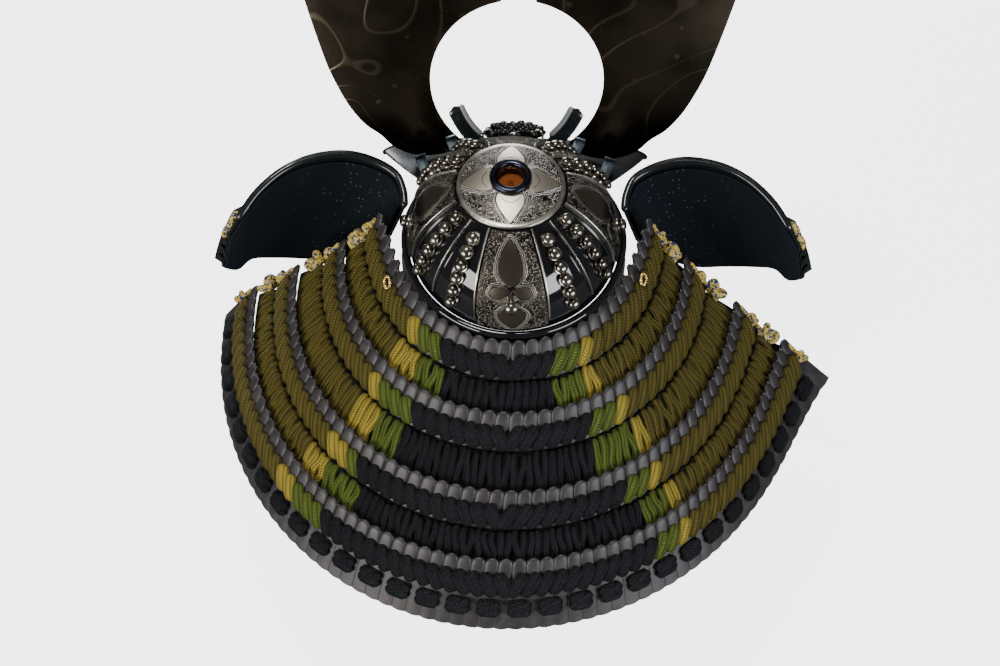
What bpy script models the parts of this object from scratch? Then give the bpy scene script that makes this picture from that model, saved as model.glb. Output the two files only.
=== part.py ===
"""A small display kabuto: ribbed bowl, horns, turn-backs and a laced neck guard.

Metres, +Z up. The origin is the middle of the bowl's rim opening, where a head form sits.
The front of the helmet faces -Y. Angles round the helmet are turned from the back (+Y) towards +X.
"""

import math

import bmesh
import bpy
from mathutils import Matrix, Vector

# Clearances
FIT_GAP = 0.0004
SEAT_GAP = 0.0003

# Bowl
BOWL_HALF_WIDTH = 0.0392
BOWL_HALF_DEPTH = 0.0422
BOWL_FRONT_DEPTH = 0.0380
BOWL_HEIGHT = 0.0355
BOWL_WALL = 0.0012
BOWL_LEAN = 0.0018
BOWL_COLUMNS = 26
BOWL_ROWS = 5
CROWN_HOLE_RADIUS = 0.0052

# Rim ring round the bowl
RING_TUBE_RADIUS = 0.0014
RING_POINTS = 26

# Crown plate and its ring
CROWN_PLATE_RADIUS = 0.0196
CROWN_PLATE_WALL = 0.0009
CROWN_RING_TUBE = 0.0011
CROWN_RING_HEIGHT = 0.0020

# Lining that shows through the crown hole
LINING_RADIUS = 0.0150
LINING_WALL = 0.0010

# Ribs: angle from the middle of the back, at the crown and at the rim
RIB_TURNS = (
    {"crown": 22.5, "rim": 20.0},
    {"crown": 44.0, "rim": 49.0},
    {"crown": 71.0, "rim": 72.5},
)
RIB_WALL = 0.0009
RIB_HEIGHT = 0.0020
RIB_FOOT_RISE = 0.0042

# Engraved plates
PLATE_WALL = 0.0007
PLATE_FOOT_RISE = 0.0026
PLATE_RIVET_RADIUS = 0.0019
PLATE_RIVET_PLACE = {"back": 0.29, "right": 0.19, "front": 0.29, "left": 0.19}

# Rivets in rows between the ribs
RIVETS_IN_ROW = 6
RIVET_RADIUS = 0.0023
RIVET_HEIGHT = 0.0034
RIVET_SEAT_RADIUS = 0.0027
RIVET_SEAT_HEIGHT = 0.0011
RIVET_FOOT_SINK = 0.0005
RIVET_SIDES = 6
RIVET_STRIP_WIDTH = 0.0024
RIVET_STRIP_WALL = 0.0006
RIVET_FOOT_RISE = 0.0082
RIVET_ROW_HEAD = {"inner": 0.0238, "outer": 0.0228}

# Visor
VISOR_ROOT_TURN = 53.0
VISOR_HALF_WIDTH = 0.0517
VISOR_REACH = 0.0215
VISOR_CORNER_BACK = 0.0077
VISOR_DROP = 0.0195
VISOR_WALL = 0.0012
VISOR_STRAP_TURNS = {"inner": 29.8, "outer": 50.0}
VISOR_STRAP_SPREAD = 21.5
VISOR_STRAP_LENGTH = 0.0103
VISOR_STRAP_WIDTH = 0.0043
VISOR_STRAP_WALL = 0.0008

# Horns: flat blades that lean forwards, drawn in their own plane from its foot line
HORN_FOOT_FORWARD = 0.0470
HORN_LEAN = 25.0
HORN_WALL = 0.0010
HORN_LENGTH = 0.1340
HORN_GAP_RADIUS = 0.0330
HORN_GAP_RISE = 0.0242
HORN_GAP_MOUTH = 0.0065
HORN_TIP_INNER = 0.0430
HORN_TIP_OUTER = 0.1010
HORN_TIP_NOTCH = 0.0130
HORN_ROOT = 0.0200
HORN_OUTER_EDGE = (
    {"out": 0.225, "rise": -0.038},
    {"out": 0.290, "rise": -0.057},
    {"out": 0.380, "rise": -0.060},
    {"out": 0.460, "rise": -0.037},
    {"out": 0.515, "rise": 0.002},
    {"out": 0.575, "rise": 0.036},
    {"out": 0.635, "rise": 0.094},
    {"out": 0.690, "rise": 0.175},
    {"out": 0.730, "rise": 0.255},
    {"out": 0.800, "rise": 0.435},
    {"out": 0.880, "rise": 0.680},
)

# Horn holder and crest
HOLDER_WALL = 0.0016
HOLDER_HALF_WIDTH = 0.0255
HOLDER_BAND = 0.0045
PRONG_FOOT = 0.0155
PRONG_TIP = 0.0240
PRONG_LENGTH = 0.0131
PRONG_WIDTH = 0.0052
CREST_HALF_WIDTH = 0.0125
CREST_TOP = 0.0041
CREST_BOSS_RADIUS = 0.0042
CREST_LOCKS = 7
CREST_LOCK_RADIUS = 0.0023

# Neck guard
NECK_TURN = 6.2
NECK_TOP_ROOM = 0.0009
NECK_SPREAD = 0.93
NECK_TOP_FLARE = 0.0048
NECK_HEM_FLARE = {"right": 0.0010, "left": 0.0098}
NECK_TOP_BACK = 0.0012
NECK_BOTTOM_HALF_WIDTH = 0.1207
NECK_BOTTOM_HALF_DEPTH = 0.1290
NECK_DROP = 0.0720
NECK_END_TOP = 0.0112
NECK_END_BOTTOM = 0.0025
NECK_COLUMNS = 19
LAME_STARTS = (
    {"share": 0.000},
    {"share": 0.240},
    {"share": 0.507},
    {"share": 0.743},
)
LAME_WALL = 0.0012
LAME_LENGTH = 0.0170
LAME_TILT = 0.2235
HEAD_LENGTH = 0.0061
HEAD_BULGE = 0.0008
NARROW_BAND_WIDTH = 0.0080
NARROW_BAND_WALL = 0.0022
WIDE_BAND_WALL = 0.0028
WIDE_BAND_TUCK = 0.0015
BAND_CROWN = 0.0005

# Woven cross knots on the lowest lame
KNOT_PITCH = 0.0120
KNOT_LENGTH = 0.0092
KNOT_WIDTH = 0.0072
KNOT_WALL = 0.0020
KNOT_DROP = 0.0195
KNOT_CORD = 0.0010
KNOT_EDGE = 0.0006

# Edge braids and eyelets
BRAID_RADIUS = 0.0008
BRAID_KNOT_RADIUS = 0.0022
BRAID_SMALL_KNOT_RADIUS = 0.0018
EYELET_RADIUS = 0.0022
EYELET_TUBE = 0.0006
EYELET_TURNS = {"right": 59.7, "left": -64.5}
EYELET_ALONG = 0.0062

# Turn-backs: shares of the span, forward reach, rise and height, for each section from root to tip
TURNBACK_SPAN = 0.0668
TURNBACK_FORWARD = 0.0175
TURNBACK_RISE = 0.0099
TURNBACK_HEIGHT = 0.0580
TURNBACK_SLOPE = 0.0110
TURNBACK_ROOT_FORWARD = 0.0145
TURNBACK_ROOT_GAP = 0.0004
TURNBACK_WALL = 0.0014
TURNBACK_RIM = 0.0030
TURNBACK_LINING_WALL = 0.0010
TURNBACK_COLUMNS = 10
TURNBACK_SECTIONS = (
    {"out": 0.000, "forward": 0.00, "rise": 0.00, "height": 0.33, "flare": 0.55, "back": 0.00},
    {"out": 0.010, "forward": 0.34, "rise": 0.24, "height": 0.57, "flare": 0.80, "back": 0.09},
    {"out": 0.060, "forward": 0.71, "rise": 0.53, "height": 0.82, "flare": 1.00, "back": 0.32},
    {"out": 0.200, "forward": 0.94, "rise": 0.82, "height": 0.97, "flare": 0.91, "back": 0.50},
    {"out": 0.360, "forward": 1.00, "rise": 1.00, "height": 1.00, "flare": 0.82, "back": 0.77},
    {"out": 0.547, "forward": 0.86, "rise": 1.00, "height": 0.90, "flare": 0.64, "back": 0.91},
    {"out": 0.700, "forward": 0.57, "rise": 0.82, "height": 0.72, "flare": 0.55, "back": 1.00},
    {"out": 0.830, "forward": 0.14, "rise": 0.47, "height": 0.54, "flare": 0.45, "back": 0.86},
    {"out": 0.920, "forward": -0.29, "rise": 0.00, "height": 0.43, "flare": 0.36, "back": 0.73},
    {"out": 1.000, "forward": -0.63, "rise": -0.70, "height": 0.20, "flare": 0.27, "back": 0.55},
)

# Sizes that follow from those above
RING_HALF_WIDTH = BOWL_HALF_WIDTH + SEAT_GAP + RING_TUBE_RADIUS
RING_HALF_DEPTH = BOWL_HALF_DEPTH + SEAT_GAP + RING_TUBE_RADIUS
RING_OUTER_WIDTH = RING_HALF_WIDTH + RING_TUBE_RADIUS
RING_OUTER_DEPTH = RING_HALF_DEPTH + RING_TUBE_RADIUS
RING_FRONT_DEPTH = BOWL_FRONT_DEPTH + SEAT_GAP + RING_TUBE_RADIUS
RING_OUTER_FRONT = RING_FRONT_DEPTH + RING_TUBE_RADIUS
NECK_TOP_HALF_WIDTH = RING_OUTER_WIDTH + NECK_TOP_ROOM
NECK_TOP_HALF_DEPTH = RING_OUTER_DEPTH + NECK_TOP_BACK
NECK_SLANT = math.hypot(NECK_BOTTOM_HALF_DEPTH - NECK_TOP_HALF_DEPTH, NECK_DROP)
HEAD_INSET = HEAD_BULGE + LAME_WALL / 2
BAND_END_MARGIN = 2.0 * (BRAID_KNOT_RADIUS + FIT_GAP)

FINISHES = {
    "black_lacquer": {"color": (0.012, 0.012, 0.014), "roughness": 0.12, "metallic": 0.0},
    "engraved_metal": {"color": (0.42, 0.38, 0.32), "roughness": 0.34, "metallic": 1.0},
    "dark_metal": {"color": (0.10, 0.09, 0.08), "roughness": 0.22, "metallic": 1.0},
    "blue_steel": {"color": (0.20, 0.23, 0.28), "roughness": 0.30, "metallic": 1.0},
    "bronze_mirror": {"color": (0.20, 0.14, 0.09), "roughness": 0.10, "metallic": 1.0},
    "gilt": {"color": (0.80, 0.58, 0.20), "roughness": 0.25, "metallic": 1.0},
    "grey_lacquer": {"color": (0.11, 0.095, 0.10), "roughness": 0.42, "metallic": 0.0},
    "lacing_cord": {"color": (0.16, 0.12, 0.03), "roughness": 0.85, "metallic": 0.0},
    "black_cord": {"color": (0.015, 0.016, 0.022), "roughness": 0.85, "metallic": 0.0},
    "speckled_cord": {"color": (0.62, 0.48, 0.14), "roughness": 0.80, "metallic": 0.0},
    "navy_cloth": {"color": (0.012, 0.016, 0.030), "roughness": 0.90, "metallic": 0.0},
    "tan_cloth": {"color": (0.45, 0.17, 0.06), "roughness": 0.80, "metallic": 0.0},
}


def clear_scene():
    """Remove every object of the startup scene."""
    for obj in list(bpy.data.objects):
        bpy.data.objects.remove(obj, do_unlink=True)


def finish(name):
    """Return the named material, made on its first use."""
    if name in bpy.data.materials:
        return bpy.data.materials[name]
    values = FINISHES[name]
    material = bpy.data.materials.new(name)
    material.use_nodes = True
    shader = material.node_tree.nodes["Principled BSDF"]
    shader.inputs["Base Color"].default_value = (*values["color"], 1.0)
    shader.inputs["Roughness"].default_value = values["roughness"]
    shader.inputs["Metallic"].default_value = values["metallic"]
    return material


def collection(name):
    """Return the named collection, linked to the scene on its first use."""
    found = bpy.data.collections.get(name)
    if found is None:
        found = bpy.data.collections.new(name)
        bpy.context.scene.collection.children.link(found)
    return found


def add_part(name, data, finish_name):
    """Put a mesh or curve in the helmet's collection as a named object."""
    data.name = name
    obj = bpy.data.objects.new(name, data)
    collection("kabuto").objects.link(obj)
    data.materials.clear()
    data.materials.append(finish(finish_name))
    return obj


def mesh_of(bm, smooth=True):
    """Turn a bmesh into a mesh with smooth faces and sharp edges past 40 degrees."""
    bmesh.ops.recalc_face_normals(bm, faces=bm.faces)
    if bm.calc_volume(signed=True) < 0.0:
        bmesh.ops.reverse_faces(bm, faces=bm.faces)
    mesh = bpy.data.meshes.new("shape")
    bm.to_mesh(mesh)
    bm.free()
    if smooth:
        mesh.shade_smooth()
        mesh.set_sharp_from_angle(angle=math.radians(40.0))
    return mesh


def between(low, high, share):
    """Value at a share of the way from low to high."""
    return low + (high - low) * share


def smooth_row(rows, share):
    """Read a table of sections at a share of its length, on a smooth curve through the rows."""
    place = min(max(share, 0.0), 1.0) * (len(rows) - 1)
    first = min(int(place), len(rows) - 2)
    t = place - first
    picked = [rows[min(max(first + step, 0), len(rows) - 1)] for step in (-1, 0, 1, 2)]
    weights = (
        (-t + 2 * t**2 - t**3) / 2,
        (2 - 5 * t**2 + 3 * t**3) / 2,
        (t + 4 * t**2 - 3 * t**3) / 2,
        (-(t**2) + t**3) / 2,
    )
    return {
        column: sum(weight * row[column] for weight, row in zip(weights, picked))
        for column in rows[0]
    }


def lifted(surface, u, v, lift):
    """Point of a surface at (u, v), moved out along its normal."""
    step = 1e-4
    across = surface(u + step, v) - surface(u - step, v)
    along = surface(u, v + step) - surface(u, v - step)
    return surface(u, v) + across.cross(along).normalized() * lift


def bent_slab(columns, rows, place, closed=False, row_shares=None):
    """Bend a flat slab by place(u, v, w), where w is 0 on its inner face and 1 on its outer one."""
    bm = bmesh.new()
    bmesh.ops.create_grid(bm, x_segments=columns, y_segments=rows, size=0.5)
    lower = list(bm.faces)
    grown = bmesh.ops.extrude_face_region(bm, geom=lower, use_keep_orig=True)
    top = [item for item in grown["geom"] if isinstance(item, bmesh.types.BMVert)]
    bmesh.ops.translate(bm, verts=top, vec=(0.0, 0.0, 1.0))
    if closed:
        ends = [
            face
            for face in bm.faces
            if abs(abs(face.calc_center_median().x) - 0.5) < 1e-6
        ]
        bmesh.ops.delete(bm, geom=ends, context="FACES_ONLY")
    for vert in bm.verts:
        u, v, w = vert.co.x + 0.5, vert.co.y + 0.5, vert.co.z
        if row_shares:
            v = row_shares[round(v * rows)]
        vert.co = place(u, v, w)
    if closed:
        bmesh.ops.remove_doubles(bm, verts=bm.verts, dist=1e-6)
    return mesh_of(bm)


def turned(name, profile, steps, finish_name):
    """Turn a closed profile of (radius, height) about +Z."""
    bm = bmesh.new()
    points = [bm.verts.new((radius, 0.0, height)) for radius, height in profile]
    for start, end in zip(points, points[1:] + points[:1]):
        bm.edges.new((start, end))
    mesh = bpy.data.meshes.new(name)
    bm.to_mesh(mesh)
    bm.free()
    obj = add_part(name, mesh, finish_name)
    screw = obj.modifiers.new("turn", "SCREW")
    screw.steps = steps
    screw.render_steps = steps
    screw.merge_threshold = 0.0001
    screw.use_merge_vertices = True
    return obj


def tube(name, points, radius, finish_name, closed=False, radii=None, resolution=1):
    """Round bar along points, with its own radius at each point where radii are given."""
    curve = bpy.data.curves.new(name, "CURVE")
    curve.dimensions = "3D"
    spline = curve.splines.new("POLY")
    spline.points.add(len(points) - 1)
    for index, point in enumerate(points):
        spline.points[index].co = (*point, 1.0)
        spline.points[index].radius = radii[index] / radius if radii else 1.0
    spline.use_cyclic_u = closed
    curve.bevel_depth = radius
    curve.bevel_resolution = resolution
    curve.use_fill_caps = not closed
    return add_part(name, curve, finish_name)


def flat_plate(name, outline, wall, finish_name):
    """Flat plate from an outline in its own plane."""
    curve = bpy.data.curves.new(name, "CURVE")
    curve.dimensions = "2D"
    curve.fill_mode = "BOTH"
    curve.extrude = wall / 2
    spline = curve.splines.new("POLY")
    spline.points.add(len(outline) - 1)
    for index, (x, y) in enumerate(outline):
        spline.points[index].co = (x, y, 0.0, 1.0)
    spline.use_cyclic_u = True
    return add_part(name, curve, finish_name)


def fused(name, meshes, finish_name):
    """Join overlapping closed meshes into one body."""
    helpers = bpy.data.collections.new(name + "_pieces")
    bpy.context.scene.collection.children.link(helpers)
    others = [bpy.data.objects.new(f"{name}_piece", mesh) for mesh in meshes[1:]]
    for obj in others:
        helpers.objects.link(obj)
    base = bpy.data.objects.new(name + "_base", meshes[0])
    bpy.context.scene.collection.objects.link(base)
    join = base.modifiers.new("join", "BOOLEAN")
    join.operation = "UNION"
    join.solver = "EXACT"
    join.operand_type = "COLLECTION"
    join.collection = helpers
    bpy.context.view_layer.update()
    graph = bpy.context.evaluated_depsgraph_get()
    mesh = bpy.data.meshes.new_from_object(base.evaluated_get(graph))
    for obj in [base, *others]:
        bpy.data.objects.remove(obj, do_unlink=True)
    bpy.data.collections.remove(helpers)
    mesh.shade_smooth()
    mesh.set_sharp_from_angle(angle=math.radians(40.0))
    return add_part(name, mesh, finish_name)


def facing(point, normal):
    """Matrix that stands a shape at a point with its own +Z along a normal."""
    turn = Vector((0.0, 0.0, 1.0)).rotation_difference(normal)
    return Matrix.Translation(point) @ turn.to_matrix().to_4x4()


def plan_depth(turn, back, front):
    """Half depth of an outline that is shorter at the front, on the side that a turn faces."""
    return back if math.cos(turn) > 0.0 else front


def bowl_surface(turn, height_angle):
    """Point of the bowl's outer face, at a turn from the back and an angle up from the rim."""
    turn, up = math.radians(turn), math.radians(height_angle)
    depth = plan_depth(turn, BOWL_HALF_DEPTH, BOWL_FRONT_DEPTH)
    return Vector((
        BOWL_HALF_WIDTH * math.cos(up) * math.sin(turn) + BOWL_LEAN * math.sin(up),
        depth * math.cos(up) * math.cos(turn),
        BOWL_HEIGHT * math.sin(up),
    ))


def on_bowl(turn, height_angle, lift):
    """Point at a lift above the bowl's outer face."""
    return lifted(bowl_surface, turn, height_angle, -lift)


def bowl_normal(turn, height_angle):
    """Outward direction of the bowl's outer face."""
    step = on_bowl(turn, height_angle, 1e-3) - on_bowl(turn, height_angle, 0.0)
    return step.normalized()


def angle_at_radius(radius, turn=90.0):
    """Angle up from the rim where the bowl is this far from its axis, at a turn from the back."""
    around = math.radians(turn)
    depth = plan_depth(around, BOWL_HALF_DEPTH, BOWL_FRONT_DEPTH)
    reach = math.hypot(BOWL_HALF_WIDTH * math.sin(around), depth * math.cos(around))
    return math.degrees(math.acos(radius / reach))


def angle_at_rise(rise):
    """Angle up from the rim where the bowl has this height."""
    return math.degrees(math.asin(rise / BOWL_HEIGHT))


def degrees_across(length, height_angle):
    """Turn in degrees that a length round the bowl takes at this height."""
    return math.degrees(length / (BOWL_HALF_WIDTH * math.cos(math.radians(height_angle))))


def build_bowl():
    """Bowl shell, its rim ring and the lining under the crown hole."""
    top = angle_at_radius(CROWN_HOLE_RADIUS)

    def shell(u, v, w):
        return on_bowl(-360.0 * u, top * v, BOWL_WALL * (w - 1.0))

    add_part("bowl", bent_slab(BOWL_COLUMNS, BOWL_ROWS, shell, closed=True), "black_lacquer")

    ring = []
    for index in range(RING_POINTS):
        turn = math.tau * index / RING_POINTS
        depth = plan_depth(turn, RING_HALF_DEPTH, RING_FRONT_DEPTH)
        ring.append((RING_HALF_WIDTH * math.sin(turn), depth * math.cos(turn), 0.0))
    tube("rim_ring", ring, RING_TUBE_RADIUS, "black_lacquer", closed=True)

    def cap(u, v, w):
        x, y = 2.0 * u - 1.0, 2.0 * v - 1.0
        reach = Vector((x * math.sqrt(1.0 - y * y / 2.0), y * math.sqrt(1.0 - x * x / 2.0)))
        turn = math.degrees(math.atan2(reach.x, reach.y))
        up = angle_at_radius(max(reach.length, 1e-3) * LINING_RADIUS)
        lift = -BOWL_WALL - FIT_GAP + LINING_WALL * (w - 1.0)
        return on_bowl(turn, up, lift)

    add_part("crown_lining", bent_slab(5, 5, cap), "tan_cloth")


def build_crown():
    """Round crown plate and the ring in its middle."""
    inner = angle_at_radius(CROWN_HOLE_RADIUS)

    def disc(u, v, w):
        turn = -360.0 * u
        outer = angle_at_radius(CROWN_PLATE_RADIUS, turn)
        return on_bowl(turn, between(outer, inner, v), FIT_GAP + CROWN_PLATE_WALL * w)

    plate = bent_slab(BOWL_COLUMNS, 2, disc, closed=True)
    add_part("crown_plate", plate, "engraved_metal")
    foot_radius = CROWN_HOLE_RADIUS + 2.0 * CROWN_RING_TUBE
    foot = max(
        on_bowl(turn, angle_at_radius(CROWN_HOLE_RADIUS), FIT_GAP + CROWN_PLATE_WALL).z
        for turn in (0.0, 90.0, 180.0, 270.0)
    )
    inner_radius = CROWN_HOLE_RADIUS + SEAT_GAP
    round_off = CROWN_RING_TUBE / 2
    profile = (
        (inner_radius + round_off, CROWN_RING_HEIGHT),
        (foot_radius - round_off, CROWN_RING_HEIGHT),
        (foot_radius, CROWN_RING_HEIGHT - round_off),
        (foot_radius, 0.0),
        (inner_radius, 0.0),
        (inner_radius, CROWN_RING_HEIGHT - round_off),
    )
    ring = turned("crown_ring", profile, 16, "blue_steel")
    ring.location = (BOWL_LEAN, 0.0, foot + SEAT_GAP)


def rib_turns():
    """The twelve ribs' turns at the crown and at the rim, in order round the bowl."""
    quarter = [(row["crown"], row["rim"]) for row in RIB_TURNS]
    half = quarter + [(180.0 - crown, 180.0 - rim) for crown, rim in reversed(quarter)]
    return half + [(360.0 - crown, 360.0 - rim) for crown, rim in reversed(half)]


def turn_on_bowl(crown_turn, rim_turn, height_angle):
    """Turn of a line that runs from the rim to the crown plate's edge."""
    top = angle_at_radius(CROWN_PLATE_RADIUS)
    return between(rim_turn, crown_turn, min(height_angle / top, 1.0))


def build_ribs():
    """Standing ribs from the crown plate's edge to just above the rim."""
    low = angle_at_rise(RIB_FOOT_RISE)

    for number, (crown, rim) in enumerate(rib_turns(), start=1):
        high = angle_at_radius(CROWN_PLATE_RADIUS + 2.0 * FIT_GAP, crown)

        def fin(u, v, w, crown=crown, rim=rim, high=high):
            up = between(low, high, v)
            taper = 1.0 - 0.75 * (1.0 - v) ** 3
            side = degrees_across(RIB_WALL * (u - 0.5), up)
            turn = turn_on_bowl(crown, rim, up) + side
            return on_bowl(turn, up, FIT_GAP + RIB_HEIGHT * taper * w)

        add_part(f"rib_{number:02d}", bent_slab(1, 5, fin), "dark_metal")


def button(radius, height, seat_radius, seat_height, sides):
    """Domed rivet head on a round seat, standing on the XY plane."""
    bm = bmesh.new()
    profile = (
        (seat_radius, -RIVET_FOOT_SINK),
        (seat_radius, seat_height),
        (radius * 0.88, between(seat_height, height, 0.62)),
        (0.0, height),
    )
    points = [bm.verts.new((across, 0.0, up)) for across, up in profile]
    edges = [bm.edges.new(pair) for pair in zip(points, points[1:])]
    bmesh.ops.spin(
        bm,
        geom=points + edges,
        axis=(0.0, 0.0, 1.0),
        cent=(0.0, 0.0, 0.0),
        angle=math.tau,
        steps=sides,
        use_merge=True,
    )
    bmesh.ops.remove_doubles(bm, verts=bm.verts, dist=1e-6)
    open_edges = [edge for edge in bm.edges if edge.is_boundary]
    bmesh.ops.holes_fill(bm, edges=open_edges, sides=0)
    return bm


def build_plates():
    """Four engraved plates between the outer ribs, each with one rivet."""
    low = angle_at_rise(PLATE_FOOT_RISE)
    back, side = RIB_TURNS[0], RIB_TURNS[-1]
    spans = {
        "back": (0.0, back["crown"], back["rim"]),
        "right": (90.0, 90.0 - side["crown"], 90.0 - side["rim"]),
        "front": (180.0, back["crown"], back["rim"]),
        "left": (270.0, 90.0 - side["crown"], 90.0 - side["rim"]),
    }
    for name, (middle, crown, rim) in spans.items():
        high = angle_at_radius(CROWN_PLATE_RADIUS + 2.0 * FIT_GAP, middle)

        def sheet(u, v, w, middle=middle, crown=crown, rim=rim, high=high):
            up = between(low, high, v)
            half = turn_on_bowl(crown, rim, up) - degrees_across(RIB_WALL / 2 + FIT_GAP, up)
            return on_bowl(middle + half * (1.0 - 2.0 * u), up, FIT_GAP + PLATE_WALL * w)

        stud = button(
            PLATE_RIVET_RADIUS,
            RIVET_HEIGHT * 0.8,
            PLATE_RIVET_RADIUS * 1.15,
            RIVET_SEAT_HEIGHT,
            RIVET_SIDES,
        )
        up = between(low, high, PLATE_RIVET_PLACE[name])
        place = facing(on_bowl(middle, up, FIT_GAP + PLATE_WALL), bowl_normal(middle, up))
        stud.transform(place)
        meshes = [bent_slab(3, 5, sheet), mesh_of(stud)]
        fused(f"plate_{name}", meshes, "engraved_metal")


def build_rivets():
    """Eight rows of rivets, one down the middle of each panel between ribs."""
    low = angle_at_rise(RIVET_FOOT_RISE)
    turns = rib_turns()
    panels = [(0, 1, "inner"), (1, 2, "outer"), (3, 4, "outer"), (4, 5, "inner")]
    panels += [(a + 6, b + 6, kind) for a, b, kind in panels]
    for number, (first, second, kind) in enumerate(panels, start=1):
        crown = (turns[first][0] + turns[second][0]) / 2
        rim = (turns[first][1] + turns[second][1]) / 2
        high = angle_at_radius(RIVET_ROW_HEAD[kind])

        def strip(u, v, w, crown=crown, rim=rim, high=high):
            up = between(low, high, v)
            side = degrees_across(RIVET_STRIP_WIDTH * (u - 0.5), up)
            turn = turn_on_bowl(crown, rim, up) + side
            return on_bowl(turn, up, FIT_GAP + RIVET_STRIP_WALL * w)

        meshes = [bent_slab(1, RIVETS_IN_ROW - 1, strip)]
        for index in range(RIVETS_IN_ROW):
            up = between(low, high, index / (RIVETS_IN_ROW - 1))
            turn = turn_on_bowl(crown, rim, up)
            head = button(
                RIVET_RADIUS, RIVET_HEIGHT, RIVET_SEAT_RADIUS, RIVET_SEAT_HEIGHT, RIVET_SIDES
            )
            head.transform(
                facing(on_bowl(turn, up, FIT_GAP + RIVET_STRIP_WALL), bowl_normal(turn, up))
            )
            meshes.append(mesh_of(head))
        fused(f"rivets_{number}", meshes, "dark_metal")


def visor_surface(side, reach):
    """Point of the visor's middle face; side runs from -1 to 1, reach from the ring to the edge."""
    root = math.radians(180.0 - VISOR_ROOT_TURN * side)
    width = RING_OUTER_WIDTH + SEAT_GAP
    depth = RING_OUTER_FRONT + SEAT_GAP
    inner = Vector((width * math.sin(root), depth * math.cos(root), 0.0))
    spread = math.radians(90.0 * side)
    corner = RING_OUTER_FRONT + VISOR_REACH - VISOR_CORNER_BACK
    outer = Vector((
        VISOR_HALF_WIDTH * math.sin(spread),
        -corner - VISOR_CORNER_BACK * math.cos(spread),
        -VISOR_DROP,
    ))
    point = inner.lerp(outer, reach)
    point.z = -VISOR_DROP * (1.15 * reach - 0.15 * reach * abs(reach))
    return point


def visor_height(x, y):
    """Height of the visor's middle face above or below a place in plan."""
    steps = 24
    grid = (
        visor_surface(side / steps, reach / steps)
        for side in range(-steps, steps + 1)
        for reach in range(steps + 1)
    )
    return min(grid, key=lambda point: (point.x - x) ** 2 + (point.y - y) ** 2).z


def build_visor():
    """Visor brim and the four straps that run from the rim ring to the horns."""

    def brim(u, v, w):
        return lifted(visor_surface, 2.0 * u - 1.0, v, VISOR_WALL * (w - 0.5))

    add_part("visor", bent_slab(12, 3, brim), "black_lacquer")
    number = 0
    spread = math.radians(VISOR_STRAP_SPREAD)
    rise = VISOR_WALL / 2 + SEAT_GAP
    for side in (-1.0, 1.0):
        across = Vector((math.cos(spread), side * math.sin(spread), 0.0)) * VISOR_STRAP_WIDTH
        ahead = Vector((side * math.sin(spread), -math.cos(spread), 0.0)) * VISOR_STRAP_LENGTH
        for turn in VISOR_STRAP_TURNS.values():
            number += 1
            root = visor_surface(side * turn / VISOR_ROOT_TURN, 0.0)
            root.z = rise

            def strap(u, v, w, root=root, across=across, ahead=ahead):
                up = Vector((0.0, 0.0, VISOR_STRAP_WALL * w))
                return root + across * (0.5 - u) + ahead * v + up

            add_part(f"visor_strap_{number}", bent_slab(1, 2, strap), "blue_steel")


def horn_seat():
    """Rise in the horns' plane at which a blade's lower edge clears the visor."""
    lean = math.radians(HORN_LEAN)
    room = VISOR_WALL / 2 + HORN_WALL + SEAT_GAP
    needed = []
    for row in HORN_OUTER_EDGE[:4]:
        x = HORN_TIP_OUTER * row["out"]
        rise = HORN_LENGTH * row["rise"]
        y = -HORN_FOOT_FORWARD - rise * math.sin(lean)
        needed.append((visor_height(x, y) + room) / math.cos(lean) - rise)
    return max(needed)


def horn_outline():
    """Outline of the blade on the +X side, in its own plane, from its root round the gap."""
    seat = horn_seat()
    gap = []
    mouth = math.degrees(math.asin(HORN_GAP_MOUTH / HORN_GAP_RADIUS))
    root = math.degrees(math.asin(HORN_ROOT / HORN_GAP_RADIUS))
    steps = 14
    for index in range(steps + 1):
        turn = math.radians(between(180.0 - root, mouth, index / steps))
        gap.append((
            HORN_GAP_RADIUS * math.sin(turn),
            HORN_GAP_RISE + HORN_GAP_RADIUS * math.cos(turn),
        ))
    neck = (HORN_GAP_MOUTH, HORN_GAP_RISE + HORN_GAP_RADIUS * 1.12)
    inner = [
        (between(neck[0], HORN_TIP_INNER, t**1.4), between(neck[1], HORN_LENGTH, t))
        for t in (0.0, 0.25, 0.5, 0.75)
    ]
    tip = [
        (HORN_TIP_INNER, HORN_LENGTH),
        (between(HORN_TIP_INNER, HORN_TIP_OUTER, 0.25), HORN_LENGTH - HORN_TIP_NOTCH * 0.6),
        (between(HORN_TIP_INNER, HORN_TIP_OUTER, 0.50), HORN_LENGTH - HORN_TIP_NOTCH),
        (between(HORN_TIP_INNER, HORN_TIP_OUTER, 0.75), HORN_LENGTH - HORN_TIP_NOTCH),
        (HORN_TIP_OUTER, HORN_LENGTH - HORN_TIP_NOTCH * 0.5),
    ]
    outer = [(HORN_TIP_OUTER * row["out"], HORN_LENGTH * row["rise"]) for row in HORN_OUTER_EDGE]
    outline = gap + inner + tip + list(reversed(outer))
    return [(x, y + seat) for x, y in outline]


def stand_in_horn_plane(obj, behind):
    """Stand a flat plate in the horns' plane, moved back from it by a distance."""
    lean = math.radians(HORN_LEAN)
    obj.rotation_euler = (math.radians(90.0 + HORN_LEAN), 0.0, 0.0)
    obj.location = (
        0.0,
        -HORN_FOOT_FORWARD + behind * math.cos(lean),
        behind * math.sin(lean),
    )


def holder_seat(x):
    """Rise in the horns' plane at which the holder's lower edge clears the visor."""
    lean = math.radians(HORN_LEAN)
    near = HORN_WALL / 2 + SEAT_GAP
    rise = 0.0
    for _ in range(3):
        needed = []
        for behind in (near, near + HOLDER_WALL):
            y = -HORN_FOOT_FORWARD + behind * math.cos(lean) - rise * math.sin(lean)
            height = visor_height(x, y) + VISOR_WALL + 2.0 * SEAT_GAP - behind * math.sin(lean)
            needed.append(height / math.cos(lean))
        rise = max(needed)
    return rise


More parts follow.
